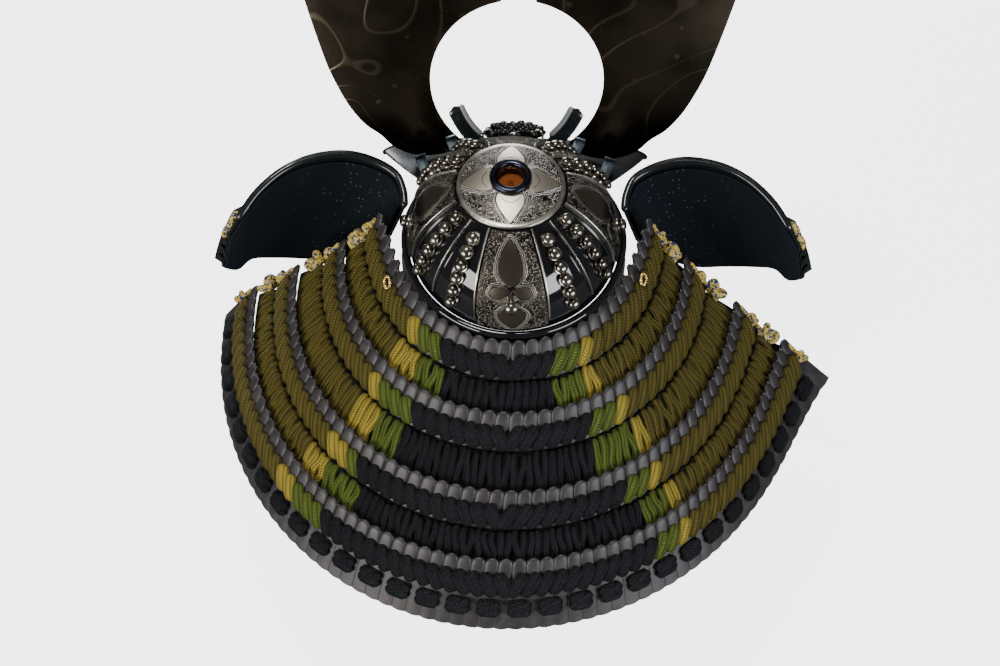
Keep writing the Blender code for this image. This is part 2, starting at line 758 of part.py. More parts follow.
def crest_seat(ahead):
    """Height of the crest boss's middle at which it clears the sloping visor."""
    needed = []
    for step in range(-10, 11):
        share = step / 10
        y = -ahead + CREST_BOSS_RADIUS * share
        needed.append(visor_height(0.0, y) + CREST_BOSS_RADIUS * math.sqrt(1.0 - share**2))
    return max(needed) + VISOR_WALL + SEAT_GAP


def build_horns():
    """Two blades, their holder with its prongs, and the crest in front."""
    outline = horn_outline()
    for name, side in (("horn_right", 1.0), ("horn_left", -1.0)):
        blade = flat_plate(name, [(side * x, y) for x, y in outline], HORN_WALL, "bronze_mirror")
        stand_in_horn_plane(blade, 0.0)

    lean = math.radians(HORN_LEAN)
    half = HOLDER_HALF_WIDTH
    rise = holder_seat(0.0)
    direction = Vector((PRONG_TIP - PRONG_FOOT, PRONG_LENGTH)).normalized()
    aside = Vector((direction.y, -direction.x)) * PRONG_WIDTH / 2
    lower = [(half * index / 6, holder_seat(half * index / 6)) for index in range(7)]
    foot = Vector((PRONG_FOOT, rise + HOLDER_BAND * 0.8))
    tip = foot + direction * math.hypot(PRONG_TIP - PRONG_FOOT, PRONG_LENGTH)
    upper = [
        (half, lower[-1][1] + HOLDER_BAND * 0.6),
        tuple(foot + aside),
        tuple(tip + aside * 0.8),
        tuple(tip - aside * 0.8),
        tuple(foot - aside),
        (0.0, rise + HOLDER_BAND * 0.7),
    ]
    right_side = lower[1:] + upper[:-1]
    left_side = [(-x, y) for x, y in reversed(right_side)]
    holder_outline = [lower[0]] + right_side + [upper[-1]] + left_side
    holder = flat_plate("horn_holder", holder_outline, HOLDER_WALL, "black_lacquer")
    stand_in_horn_plane(holder, HORN_WALL / 2 + SEAT_GAP + HOLDER_WALL / 2)

    ahead = HORN_FOOT_FORWARD + (HORN_WALL / 2 + SEAT_GAP + CREST_BOSS_RADIUS) / math.cos(lean)
    middle = Vector((0.0, -ahead, crest_seat(ahead)))
    boss = bmesh.new()
    bmesh.ops.create_uvsphere(boss, u_segments=10, v_segments=6, radius=CREST_BOSS_RADIUS)
    bmesh.ops.scale(boss, vec=(1.5, 0.95, 1.0), verts=boss.verts)
    boss.transform(Matrix.Translation(middle))
    meshes = [mesh_of(boss)]
    for index in range(CREST_LOCKS):
        turn = math.pi * index / (CREST_LOCKS - 1)
        end = Vector((
            CREST_HALF_WIDTH * math.cos(turn),
            0.0,
            (CREST_TOP - middle.z) * math.sin(turn),
        ))
        lock = bmesh.new()
        bmesh.ops.create_cone(
            lock,
            cap_ends=True,
            segments=5,
            radius1=CREST_LOCK_RADIUS,
            radius2=CREST_LOCK_RADIUS * 0.45,
            depth=end.length,
        )
        lock.transform(facing(middle + end / 2, end.normalized()))
        meshes.append(mesh_of(lock))
    fused("crest", meshes, "dark_metal")


def neck_surface(turn, share):
    """Point of the neck guard's outer skin, at a turn from its back and a share of its slant."""
    inward = max(share, 0.0)
    width = between(NECK_TOP_HALF_WIDTH, NECK_BOTTOM_HALF_WIDTH, inward**NECK_SPREAD)
    depth = between(NECK_TOP_HALF_DEPTH, NECK_BOTTOM_HALF_DEPTH, share)
    end = 2.0 * abs(turn) / math.pi
    hem = NECK_HEM_FLARE["right" if turn > 0.0 else "left"]
    flare = NECK_TOP_FLARE * (1.0 - share) ** 4 * end**5 + hem * inward**3 * end**10
    x = width * math.sin(turn) + math.copysign(flare, turn)
    y = depth * math.cos(turn)
    twist = math.radians(NECK_TURN) * math.sin(math.pi / 2 * share)
    return Vector((
        x * math.cos(twist) + y * math.sin(twist),
        y * math.cos(twist) - x * math.sin(twist),
        -NECK_DROP * share,
    ))


def neck_point(side, slant, lift, margin=0.0):
    """Point of the neck guard; side runs from -1 to 1 between its ends, slant is in metres."""
    share = slant / NECK_SLANT
    depth = between(NECK_TOP_HALF_DEPTH, NECK_BOTTOM_HALF_DEPTH, share)
    end = math.acos(-between(NECK_END_TOP, NECK_END_BOTTOM, share) / depth) - margin / depth
    return lifted(neck_surface, side * end, share, lift)


def lame_lift(along):
    """Lift of a lame's middle face below the neck guard's skin, at a distance from its top."""
    return -HEAD_INSET - LAME_TILT * along


def lame_start(number):
    """Slant at which a lame begins."""
    return LAME_STARTS[number]["share"] * NECK_SLANT


def build_neck_guard():
    """Four lames with their bands of cord, each lame's top standing outside the one above."""
    last = len(LAME_STARTS) - 1
    outer_face = LAME_WALL / 2 + FIT_GAP
    for number in range(len(LAME_STARTS)):
        start = lame_start(number)
        length = NECK_SLANT - start if number == last else LAME_LENGTH

        def plate(u, v, w, start=start, length=length):
            along = length * v
            heads = HEAD_BULGE if along < HEAD_LENGTH * 0.95 else 0.0
            lift = lame_lift(along) + LAME_WALL * (w - 0.5) + heads * w
            return neck_point(2.0 * u - 1.0, start + along, lift)

        shares = (0.0, HEAD_LENGTH * 0.9 / length, HEAD_LENGTH / length, 1.0)
        mesh = bent_slab(NECK_COLUMNS, 3, plate, row_shares=shares)
        add_part(f"lame_{number + 1}", mesh, "grey_lacquer")

        def narrow(u, v, w, start=start):
            along = HEAD_LENGTH + FIT_GAP + NARROW_BAND_WIDTH * v
            crown = BAND_CROWN * math.sin(math.pi * v)
            lift = lame_lift(along) + outer_face + (NARROW_BAND_WALL - BAND_CROWN + crown) * w
            return neck_point(2.0 * u - 1.0, start + along, lift, BAND_END_MARGIN)

        mesh = bent_slab(NECK_COLUMNS, 2, narrow)
        add_part(f"narrow_band_{number + 1}", mesh, "lacing_cord")
        if number == last:
            continue
        pitch = lame_start(number + 1) - start
        head = HEAD_LENGTH + NARROW_BAND_WIDTH + 3.0 * FIT_GAP
        tail = pitch + WIDE_BAND_TUCK

        def wide(u, v, w, start=start, pitch=pitch, head=head, tail=tail):
            along = between(head, tail, v)
            top = lame_lift(head) + outer_face
            bottom = lame_lift(tail - pitch) - outer_face - WIDE_BAND_WALL
            crown = BAND_CROWN * math.sin(math.pi * v)
            lift = between(top, bottom, v) + (WIDE_BAND_WALL - BAND_CROWN + crown) * w
            return neck_point(2.0 * u - 1.0, start + along, lift, BAND_END_MARGIN)

        mesh = bent_slab(NECK_COLUMNS, 2, wide)
        add_part(f"wide_band_{number + 1}", mesh, "lacing_cord")


def build_cross_knots():
    """Row of woven knots on the lowest lame, joined by the cord that runs behind them."""
    start = lame_start(len(LAME_STARTS) - 1)
    middle = KNOT_DROP
    share = (start + middle) / NECK_SLANT
    depth = between(NECK_TOP_HALF_DEPTH, NECK_BOTTOM_HALF_DEPTH, share)
    width = between(NECK_TOP_HALF_WIDTH, NECK_BOTTOM_HALF_WIDTH, share)
    arc = math.pi * (depth + width) / 2 - 2.0 * BAND_END_MARGIN
    count = int(arc / KNOT_PITCH)
    pad = KNOT_LENGTH / (arc / count)
    edge = KNOT_EDGE / (arc / count)
    stops = ((1.0 - pad) / 2 - edge, (1.0 - pad) / 2, (1.0 + pad) / 2, (1.0 + pad) / 2 + edge)

    def row(u, v, w):
        index = round(u * (4 * count - 1))
        knot, stop = divmod(index, 4)
        on_pad = stop in (1, 2)
        side = 2.0 * (knot + stops[stop]) / count - 1.0
        half = KNOT_WIDTH / 2 if on_pad else KNOT_CORD
        wall = KNOT_WALL if on_pad else KNOT_CORD
        along = middle + half * (2.0 * v - 1.0)
        lift = lame_lift(along) + LAME_WALL / 2 + FIT_GAP + wall * w
        return neck_point(side, start + along, lift, BAND_END_MARGIN)

    add_part("cross_knots", bent_slab(4 * count - 1, 1, row), "black_cord")


def build_edge_braids():
    """Speckled braid down each side of the neck guard, knotted beside each band."""
    for name, side in (("edge_braid_right", 1.0), ("edge_braid_left", -1.0)):
        points, radii = [], []
        for number in range(len(LAME_STARTS)):
            start = lame_start(number)
            face = LAME_WALL / 2 + FIT_GAP
            narrow_middle = HEAD_LENGTH + FIT_GAP + NARROW_BAND_WIDTH / 2
            stations = [
                (-0.0010, HEAD_BULGE + BRAID_RADIUS, BRAID_RADIUS),
                (HEAD_LENGTH + BRAID_RADIUS, HEAD_BULGE + BRAID_RADIUS, BRAID_RADIUS),
                (narrow_middle - BRAID_RADIUS, BRAID_SMALL_KNOT_RADIUS, BRAID_SMALL_KNOT_RADIUS),
                (narrow_middle + BRAID_RADIUS, BRAID_SMALL_KNOT_RADIUS, BRAID_SMALL_KNOT_RADIUS),
                (narrow_middle + 3.5 * BRAID_RADIUS, BRAID_RADIUS, BRAID_RADIUS),
            ]
            if number < len(LAME_STARTS) - 1:
                knot = LAME_LENGTH + BRAID_KNOT_RADIUS
                stations += [
                    (knot - 2.0 * BRAID_RADIUS, BRAID_KNOT_RADIUS, BRAID_KNOT_RADIUS),
                    (knot + 2.0 * BRAID_RADIUS, BRAID_KNOT_RADIUS + BRAID_RADIUS, BRAID_KNOT_RADIUS),
                ]
            for along, stand, radius in stations:
                lift = lame_lift(min(along, LAME_LENGTH)) + face + stand
                points.append(neck_point(side, start + along, lift, BRAID_KNOT_RADIUS))
                radii.append(radius)
        tube(name, points, BRAID_RADIUS, "speckled_cord", radii=radii)


def eyelet_seat(side, along):
    """Point at an eyelet's middle height above the highest narrow band."""
    stand = LAME_WALL / 2 + FIT_GAP + NARROW_BAND_WALL + SEAT_GAP + EYELET_TUBE
    return neck_point(side, lame_start(0) + along, lame_lift(along) + stand)


def build_eyelets():
    """Two gilt eyelets seated on the highest narrow band."""
    step = 1e-4
    for name, degrees in EYELET_TURNS.items():
        turn = degrees / 90.0
        place = eyelet_seat(turn, EYELET_ALONG)
        across = eyelet_seat(turn + step, EYELET_ALONG) - place
        along = eyelet_seat(turn, EYELET_ALONG + step) - place
        normal = across.cross(along).normalized()
        bpy.ops.mesh.primitive_torus_add(
            major_segments=11,
            minor_segments=5,
            major_radius=EYELET_RADIUS - EYELET_TUBE,
            minor_radius=EYELET_TUBE,
        )
        ring = bpy.context.object
        mesh = ring.data
        bpy.data.objects.remove(ring, do_unlink=True)
        mesh.shade_smooth()
        obj = add_part(f"eyelet_{name}", mesh, "gilt")
        obj.matrix_world = facing(place, normal)


def turnback_surface(length, drop):
    """Point of the +X turn-back's middle face, from root to tip and from its rim down."""
    row = smooth_row(TURNBACK_SECTIONS, length)
    root_turn = math.acos(-TURNBACK_ROOT_FORWARD / RING_OUTER_FRONT)
    root = RING_OUTER_WIDTH * math.sin(root_turn) + TURNBACK_ROOT_GAP + TURNBACK_RIM / 2
    rim = Vector((
        root + TURNBACK_SPAN * row["out"],
        -TURNBACK_ROOT_FORWARD - TURNBACK_FORWARD * row["forward"],
        TURNBACK_RISE * row["rise"],
    ))
    fall = Vector((
        TURNBACK_SLOPE * row["flare"],
        TURNBACK_SLOPE * row["back"],
        -TURNBACK_HEIGHT * row["height"],
    ))
    return rim + fall * drop


def build_turnbacks():
    """The two turn-backs, each a plate with a rounded rim and a cloth lining on its inner face."""
    for name, side in (("right", 1.0), ("left", -1.0)):

        def plate(u, v, w, side=side):
            wall = TURNBACK_RIM if v < 0.08 else TURNBACK_WALL
            point = lifted(turnback_surface, u, v, wall * (w - 0.5))
            return Vector((side * point.x, point.y, point.z))

        shares = (0.0, 0.07, 0.085, 0.5, 1.0)
        mesh = bent_slab(TURNBACK_COLUMNS, 4, plate, row_shares=shares)
        add_part(f"turnback_{name}", mesh, "black_lacquer")

        def cloth(u, v, w, side=side):
            lift = TURNBACK_WALL / 2 + FIT_GAP + TURNBACK_LINING_WALL * w
            point = lifted(turnback_surface, between(0.03, 0.97, u), v, lift)
            return Vector((side * point.x, point.y, point.z))

        mesh = bent_slab(TURNBACK_COLUMNS, 3, cloth, row_shares=(0.10, 0.4, 0.7, 0.98))
        add_part(f"lining_{name}", mesh, "navy_cloth")


def main():
    """Clear the scene and build the helmet."""
    clear_scene()
    build_bowl()
    build_crown()
    build_ribs()
    build_plates()
    build_rivets()
    build_visor()
    build_horns()
    build_neck_guard()
    build_cross_knots()
    build_edge_braids()
    build_eyelets()
    build_turnbacks()


main()
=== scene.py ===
"""Looks of a small display kabuto: lacquered bowl, engraved plates, bronze horns, laced neck guard.

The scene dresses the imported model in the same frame: metres, +Z up, the horns towards -Y.
Turns round the helmet are counted from the back (+Y) towards +X.
"""

from __future__ import annotations

import logging
import math
import random
from dataclasses import dataclass, field
from enum import Enum
from typing import Any, Callable, Sequence, Union

import bmesh
import bpy
import numpy as np
from mathutils import Matrix, Vector


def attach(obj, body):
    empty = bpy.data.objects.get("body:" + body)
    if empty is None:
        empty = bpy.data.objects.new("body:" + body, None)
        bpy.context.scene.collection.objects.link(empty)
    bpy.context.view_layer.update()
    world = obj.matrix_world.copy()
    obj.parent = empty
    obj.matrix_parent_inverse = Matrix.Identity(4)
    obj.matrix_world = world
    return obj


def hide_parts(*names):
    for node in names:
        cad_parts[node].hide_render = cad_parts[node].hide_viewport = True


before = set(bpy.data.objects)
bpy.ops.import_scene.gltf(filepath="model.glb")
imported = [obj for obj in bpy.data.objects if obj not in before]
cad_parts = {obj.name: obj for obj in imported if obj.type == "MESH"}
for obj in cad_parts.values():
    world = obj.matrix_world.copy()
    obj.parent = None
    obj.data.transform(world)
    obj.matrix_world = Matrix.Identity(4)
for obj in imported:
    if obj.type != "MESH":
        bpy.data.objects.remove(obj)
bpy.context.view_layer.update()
LOG = logging.getLogger("kabuto")

Color = tuple[float, float, float]
Place = Callable[[float, float, float], Vector]
Outline = Sequence[tuple[float, float]]
Node = bpy.types.Node
Socket = bpy.types.NodeSocket
Tree = bpy.types.NodeTree
Material = bpy.types.Material
Piece = bpy.types.Object
BMesh = bmesh.types.BMesh
Term = Union[float, Socket]
# points of a piece closer than this are one point, in metres
WELD = 1e-6
# turns of the four petals and quarters of the bowl
QUARTERS = (0.0, 90.0, 180.0, 270.0)


class Side(Enum):
    """A side of the helmet and its sign along X."""

    RIGHT = 1.0
    LEFT = -1.0


class Dye(Enum):
    """Colours of the lacing cords, as material places of a band."""

    BLACK = 0
    GREEN = 1
    YELLOW = 2
    OLIVE = 3


# ---------------------------------------------------------------- node helpers


class NodeBoard:
    """Short calls that add and join the nodes of one shader tree."""

    def __init__(self, tree: Tree) -> None:
        """Keep the tree that the calls work on."""
        self.tree = tree

    def add(self, kind: str, **settings: Any) -> Node:
        """Add a node.

        Args:
            kind: Blender's name for the node type.
            **settings: Properties of the node, not sockets.

        Returns:
            The new node.
        """
        node = self.tree.nodes.new(kind)
        for name, value in settings.items():
            setattr(node, name, value)
        return node

    def join(self, source: Any, target: Socket) -> None:
        """Link a socket to a target, or set the target's own value."""
        if isinstance(source, Socket):
            self.tree.links.new(source, target)
        else:
            target.default_value = source

    def feed(self, node: Node, sources: dict[str, Any]) -> Node:
        """Join sockets or values to a node's named inputs, and return the node."""
        for name, source in sources.items():
            self.join(source, node.inputs[name])
        return node

    def use(self, tree: Tree, sources: dict[str, Any]) -> Node:
        """Place a shared effect, fed with sockets or values, and return its group node."""
        return self.feed(self.add("ShaderNodeGroup", node_tree=tree), sources)

    def math(self, operation: str, *terms: Term) -> Socket:
        """Add a Math node.

        Args:
            operation: Name of the sum, such as POWER.
            *terms: Numbers or sockets, in order.

        Returns:
            The result's socket.
        """
        node = self.add("ShaderNodeMath", operation=operation)
        for term, socket in zip(terms, node.inputs):
            self.join(term, socket)
        return node.outputs[0]

    def times(self, first: Term, second: Term) -> Socket:
        """Multiply two values."""
        return self.math("MULTIPLY", first, second)

    def split(self, vector: Socket) -> tuple[Socket, Socket, Socket]:
        """Take a vector apart into x, y and z."""
        return tuple(self.feed(self.add("ShaderNodeSeparateXYZ"), {"Vector": vector}).outputs)

    def step(self, value: Term, low: float, high: float) -> Socket:
        """Rise smoothly from 0 at low to 1 at high."""
        node = self.add("ShaderNodeMapRange", interpolation_type="SMOOTHSTEP")
        self.feed(node, {"Value": value, "From Min": low, "From Max": high})
        return node.outputs["Result"]

    def fade(self, value: Term, low: float, high: float) -> Socket:
        """Fall smoothly from 1 at low to 0 at high."""
        return self.math("SUBTRACT", 1.0, self.step(value, low, high))

    def spread(self, value: Term, low: float, high: float) -> Socket:
        """Stretch a 0 to 1 value to low and high."""
        node = self.add("ShaderNodeMapRange")
        self.feed(node, {"Value": value, "To Min": low, "To Max": high})
        return node.outputs["Result"]

    def blend(self, share: Term, low: Any, high: Any) -> Socket:
        """Mix two colours.

        Args:
            share: 0 gives low and 1 gives high.
            low: Colour or socket.
            high: Colour or socket.

        Returns:
            The mixed colour's socket.
        """
        node = self.add("ShaderNodeMix", data_type="RGBA", clamp_factor=True)
        self.join(share, node.inputs[0])
        for source, place in ((low, 6), (high, 7)):
            self.join(shade(source) if isinstance(source, tuple) else source, node.inputs[place])
        return node.outputs[2]

    def noise(self, vector: Socket, scale: float, detail: float, warp: float = 0.0) -> Socket:
        """Add a Noise texture.

        Args:
            vector: Coordinates that it reads.
            scale: Scale of the noise.
            detail: Octaves.
            warp: Distortion.

        Returns:
            The noise value's socket.
        """
        node = self.add("ShaderNodeTexNoise")
        self.feed(node, {"Vector": vector, "Scale": scale, "Detail": detail, "Distortion": warp})
        return node.outputs["Fac"]

    def cells(self, vector: Socket, scale: float) -> Node:
        """Add a Voronoi texture that reads a vector at a scale, and return its node."""
        return self.feed(self.add("ShaderNodeTexVoronoi"), {"Vector": vector, "Scale": scale})

    def bump(self, height: Socket, depth: float) -> Socket:
        """Bend the normal by a height from 0 to 1, whose real depth is in metres."""
        node = self.add("ShaderNodeBump")
        self.feed(node, {"Strength": 1.0, "Distance": depth, "Height": height})
        return node.outputs["Normal"]


def shade(color: Color) -> tuple[float, float, float, float]:
    """Give a colour its alpha."""
    return (*color, 1.0)


def toned(color: Color, factor: float) -> Color:
    """Darken or lighten a colour, no part of it above 1."""
    return tuple(min(1.0, part * factor) for part in color)


def effect(
    name: str,
    inputs: dict[str, float | None],
    outputs: Sequence[str],
    build: Callable[[NodeBoard, Node], dict[str, Socket]],
) -> Tree:
    """Return a shared node group, built on its first use.

    Args:
        name: Name of the effect.
        inputs: Socket name to default value, or to None for a vector.
        outputs: Names of the values that it gives.
        build: Adds the nodes and returns the sockets that feed the outputs.

    Returns:
        The node group.
    """
    found = bpy.data.node_groups.get(name)
    if found is not None:
        return found
    tree = bpy.data.node_groups.new(name, "ShaderNodeTree")
    for socket, value in inputs.items():
        kind = "NodeSocketVector" if value is None else "NodeSocketFloat"
        made = tree.interface.new_socket(name=socket, in_out="INPUT", socket_type=kind)
        if value is not None:
            made.default_value = value
    for socket in outputs:
        tree.interface.new_socket(name=socket, in_out="OUTPUT", socket_type="NodeSocketFloat")
    board = NodeBoard(tree)
    entry = board.add("NodeGroupInput")
    leave = board.add("NodeGroupOutput")
    board.feed(leave, build(board, entry))
    return tree


def cord_weave() -> Tree:
    """Rows of V stitches along a cord, from its UV map: turn round it, millimetres along."""

    def build(board: NodeBoard, entry: Node) -> dict[str, Socket]:
        """Add the stitch nodes."""
        around, along = board.split(entry.outputs["UV"])[:2]
        lane = board.times(around, entry.outputs["Columns"])
        wave = board.math("PINGPONG", board.math("ADD", lane, 0.5), 0.5)
        rows = board.math("DIVIDE", along, entry.outputs["Pitch"])
        phase = board.times(board.math("ADD", rows, board.times(wave, 1.7)), math.tau)
        stitch = board.math("MULTIPLY_ADD", board.math("SINE", phase), 0.5, 0.5)
        furrow = board.math("MULTIPLY_ADD", board.step(wave, 0.0, 0.24), 0.8, 0.2)
        height = board.times(board.math("MULTIPLY_ADD", stitch, 0.9, 0.1), furrow)
        grit = board.noise(entry.outputs["Vector"], 9000.0, 2.0)
        fuzzy = board.math("MULTIPLY_ADD", grit, 0.35, board.times(height, 0.8))
        return {"Height": fuzzy, "Shade": board.math("MULTIPLY_ADD", height, 0.75, 0.25)}

    inputs = {"UV": None, "Vector": None, "Columns": 4.0, "Pitch": 0.7}
    return effect("cord_weave", inputs, ("Height", "Shade"), build)


def engraved_scrolls() -> Tree:
    """Engraved ground round smooth petals, from the millimetres to the nearest petal."""

    def build(board: NodeBoard, entry: Node) -> dict[str, Socket]:
        """Add the nodes of the lines, scrolls, dots and petals."""
        place, away = entry.outputs["Vector"], entry.outputs["Distance"]
        sway = board.math("SUBTRACT", board.noise(place, 170.0, 2.0), 0.5)
        bent = board.math("MULTIPLY_ADD", sway, 1.6, away)
        wave = board.math("SINE", board.times(bent, math.pi / 0.62))
        contours = board.step(board.math("ABSOLUTE", wave), 0.55, 0.98)
        scroll = board.noise(place, 360.0, 1.0, 0.7)
        curls = board.step(board.math("PINGPONG", board.times(scroll, 8.0), 0.5), 0.12, 0.38)
        beads = board.fade(board.cells(place, 1900.0).outputs["Distance"], 0.12, 0.60)
        speckle = board.times(curls, board.math("MULTIPLY_ADD", beads, 0.6, 0.4))
        far = board.times(speckle, board.step(bent, 1.3, 2.0))
        ground = board.math("MULTIPLY_ADD", contours, board.fade(bent, 1.3, 2.0), far)
        petal = board.fade(away, -0.08, 0.03)
        from_rim = board.math("ABSOLUTE", board.math("SUBTRACT", away, 0.14))
        raised = board.math("MAXIMUM", ground, petal)
        height = board.times(raised, board.step(from_rim, 0.08, 0.22))
        return {"Height": height, "Petal": petal}

    inputs = {"Vector": None, "Distance": 5.0}
    return effect("engraved_scrolls", inputs, ("Height", "Petal"), build)


def handling_marks() -> Tree:
    """Faint smears and fine dust on polished surfaces, as a value from 0 to 1."""

    def build(board: NodeBoard, entry: Node) -> dict[str, Socket]:
        """Add the nodes of the smears and the dust."""
        place = entry.outputs["Vector"]
        smear = board.step(board.noise(place, 60.0, 5.0, 1.2), 0.42, 0.78)
        dust = board.step(board.cells(place, 900.0).outputs["Distance"], 0.10, 0.04)
        specks = board.times(dust, board.step(board.noise(place, 150.0, 1.0), 0.5, 0.6))
        return {"Smear": smear, "Specks": specks}

    return effect("handling_marks", {"Vector": None}, ("Smear", "Specks"), build)


# ---------------------------------------------------------------- finishes


@dataclass(frozen=True)
class Finish:
    """A named material that is made once and shared."""

    name: str

    def material(self) -> Material:
        """Return the material, made with its node tree on its first use."""
        found = bpy.data.materials.get(self.name)
        if found is not None:
            return found
        made = bpy.data.materials.new(self.name)
        made.use_nodes = True
        board = NodeBoard(made.node_tree)
        shader = made.node_tree.nodes["Principled BSDF"]
        self.dress(board, shader, board.add("ShaderNodeTexCoord"))
        return made

    def dress(self, board: NodeBoard, shader: Node, coordinates: Node) -> None:
        """Add this finish's nodes to its tree."""
        raise NotImplementedError


@dataclass(frozen=True)
class Lacquer(Finish):
    """Black or grey lacquer with a clear coat, faint smears and dust."""

    color: Color
    roughness: float
    coat: float
    ripple: float = 0.0

    def dress(self, board: NodeBoard, shader: Node, coordinates: Node) -> None:
        """Add the lacquer's nodes."""
        place = coordinates.outputs["Object"]
        marks = board.use(handling_marks(), {"Vector": place})
        dusty = tuple(min(1.0, part * 1.5 + 0.03) for part in self.color)
        rough = board.spread(marks.outputs["Smear"], self.roughness, self.roughness * 1.7)
        board.feed(shader, {
            "Base Color": board.blend(marks.outputs["Specks"], self.color, dusty),
            "Roughness": rough,
            "Coat Weight": self.coat,
            "Coat Roughness": self.roughness * 0.4,
        })
        if self.ripple:
            wave = board.noise(place, 90.0, 2.0)
            board.feed(shader, {"Normal": board.bump(wave, self.ripple)})


@dataclass(frozen=True)
class Metal(Finish):
    """Polished or satin metal with tone changes, smears and a hammered or drawn surface."""

    color: Color
    dark: Color
    roughness: float
    ripple: float = 0.00002
    ripple_scale: float = 160.0

    def dress(self, board: NodeBoard, shader: Node, coordinates: Node) -> None:
        """Add the metal's nodes."""
        place = coordinates.outputs["Object"]
        marks = board.use(handling_marks(), {"Vector": place})
        tone = board.step(board.noise(place, 120.0, 4.0), 0.30, 0.72)
        rough = board.spread(marks.outputs["Smear"], self.roughness, self.roughness * 1.8)
        board.feed(shader, {
            "Base Color": board.blend(tone, self.dark, self.color),
            "Roughness": rough,
            "Metallic": 1.0,
            "Normal": board.bump(board.noise(place, self.ripple_scale, 3.0), self.ripple),
        })


@dataclass(frozen=True)
class Embossed(Finish):
    """Polished metal with wide embossed scrolls and small raised dots, the raised parts lightened
    in colour as a painted highlight.
    """

    color: Color
    dark: Color
    roughness: float

    def dress(self, board: NodeBoard, shader: Node, coordinates: Node) -> None:
        """Add the embossed metal's nodes."""
        place = coordinates.outputs["Object"]
        flow = board.noise(place, 17.0, 1.0, 0.5)
        scroll = board.math("PINGPONG", board.times(flow, 9.0), 0.5)
        lines = board.fade(scroll, 0.01, 0.06)
        beads = board.fade(board.cells(place, 105.0).outputs["Distance"], 0.06, 0.15)
        # the raised scrolls and dots bend the normal, and are also lightened in the base colour as
        # a painted highlight
        relief_and_painted_highlight = board.math("MAXIMUM", lines, beads)
        tone = board.step(board.noise(place, 30.0, 3.0), 0.25, 0.80)
        base = board.blend(tone, self.dark, self.color)
        board.feed(shader, {
            "Base Color": board.blend(relief_and_painted_highlight, base, toned(self.color, 1.6)),
            "Roughness": board.spread(tone, self.roughness, self.roughness * 1.5),
            "Metallic": 1.0,
            "Normal": board.bump(relief_and_painted_highlight, 0.00006),
        })


@dataclass(frozen=True)
class Engraved(Finish):
    """Engraved metal: bright lines and dots on a dark ground round smooth petals."""

    line: Color
    ground: Color
    petal: Color
    petal_roughness: float
    wear: float

    def dress(self, board: NodeBoard, shader: Node, coordinates: Node) -> None:
        """Add the engraving's nodes."""
        place = coordinates.outputs["Object"]
        reading = board.add("ShaderNodeAttribute", attribute_name="petal_distance")
        marks = board.use(
            engraved_scrolls(), {"Vector": place, "Distance": reading.outputs["Fac"]}
        )
        worn = board.step(board.noise(place, 140.0, 4.0), 0.35, 0.75)
        height, petal = marks.outputs["Height"], marks.outputs["Petal"]
        low, high = 0.55 - 0.5 * self.wear, 0.95 - 0.5 * self.wear
        cut = board.blend(board.step(height, low, high), self.ground, self.line)
        rubbed = board.blend(0.75, board.blend(worn, cut, self.petal), cut)
        board.feed(shader, {
            "Base Color": board.blend(petal, rubbed, self.petal),
            "Roughness": board.spread(petal, 0.38, self.petal_roughness),
            "Metallic": 1.0,
            "Normal": board.bump(height, 0.00022),
        })


@dataclass(frozen=True)
class Cord(Finish):
    """Braided cord of one dye, with V stitches, a soft sheen and uneven colour; painted shade
    darkens its stitch furrows and a painted highlight lightens its stitch tops.
    """

    color: Color
    # colour of the painted highlight on the stitch tops, also the sheen's tint
    light: Color
    columns: float
    pitch: float = 0.54

    def dress(self, board: NodeBoard, shader: Node, coordinates: Node) -> None:
        """Add the cord's nodes."""
        place = coordinates.outputs["Object"]
        weave = board.use(cord_weave(), {
            "UV": coordinates.outputs["UV"],
            "Vector": place,
            "Columns": self.columns,
            "Pitch": self.pitch,
        })
        # painted shade and highlight: the stitch mask darkens the furrows to a twentieth of the dye
        # and lightens the stitch tops towards the light colour
        stitch = weave.outputs["Shade"]
        dye = board.step(board.noise(place, 210.0, 4.0), 0.30, 0.70)
        soft = board.blend(dye, toned(self.color, 0.60), self.color)
        stitch_tops_painted_highlight = board.blend(board.math("POWER", stitch, 2.0), soft, self.light)
        board.feed(shader, {
            "Base Color": board.blend(stitch, toned(self.color, 0.05), stitch_tops_painted_highlight),
            "Roughness": 0.50,
            "Specular IOR Level": 0.32,
            "Sheen Weight": 0.02,
            "Sheen Tint": shade(self.light),
            "Normal": board.bump(weave.outputs["Height"], 0.00075),
        })


@dataclass(frozen=True)
class SpeckledCord(Finish):
    """Silky cord in gold with patches of blue and white, with painted shade darkening its stitch
    furrows.
    """

    gold: Color
    pale: Color
    blue: Color
    # black of the ink patches, also the tone of the painted shade in the furrows
    ink: Color

    def dress(self, board: NodeBoard, shader: Node, coordinates: Node) -> None:
        """Add the speckled cord's nodes."""
        place = coordinates.outputs["Object"]
        patch = self.gold
        for color, scale, low, high in (
            (self.pale, 1250.0, 0.52, 0.58),
            (self.blue, 760.0, 0.555, 0.585),
            (self.ink, 960.0, 0.60, 0.63),
        ):
            patch = board.blend(board.step(board.noise(place, scale, 1.0), low, high), patch, color)
        weave = board.use(cord_weave(), {
            "UV": coordinates.outputs["UV"],
            "Vector": place,
            "Columns": 4.0,
            "Pitch": 0.6,
        })
        # painted shade: the furrows between the stitches darken towards ink
        furrow_painted_shade = board.blend(0.65, patch, self.ink)
        board.feed(shader, {
            "Base Color": board.blend(weave.outputs["Shade"], furrow_painted_shade, patch),
            "Roughness": 0.42,
            "Sheen Weight": 0.2,
            "Normal": board.bump(weave.outputs["Height"], 0.0002),
        })


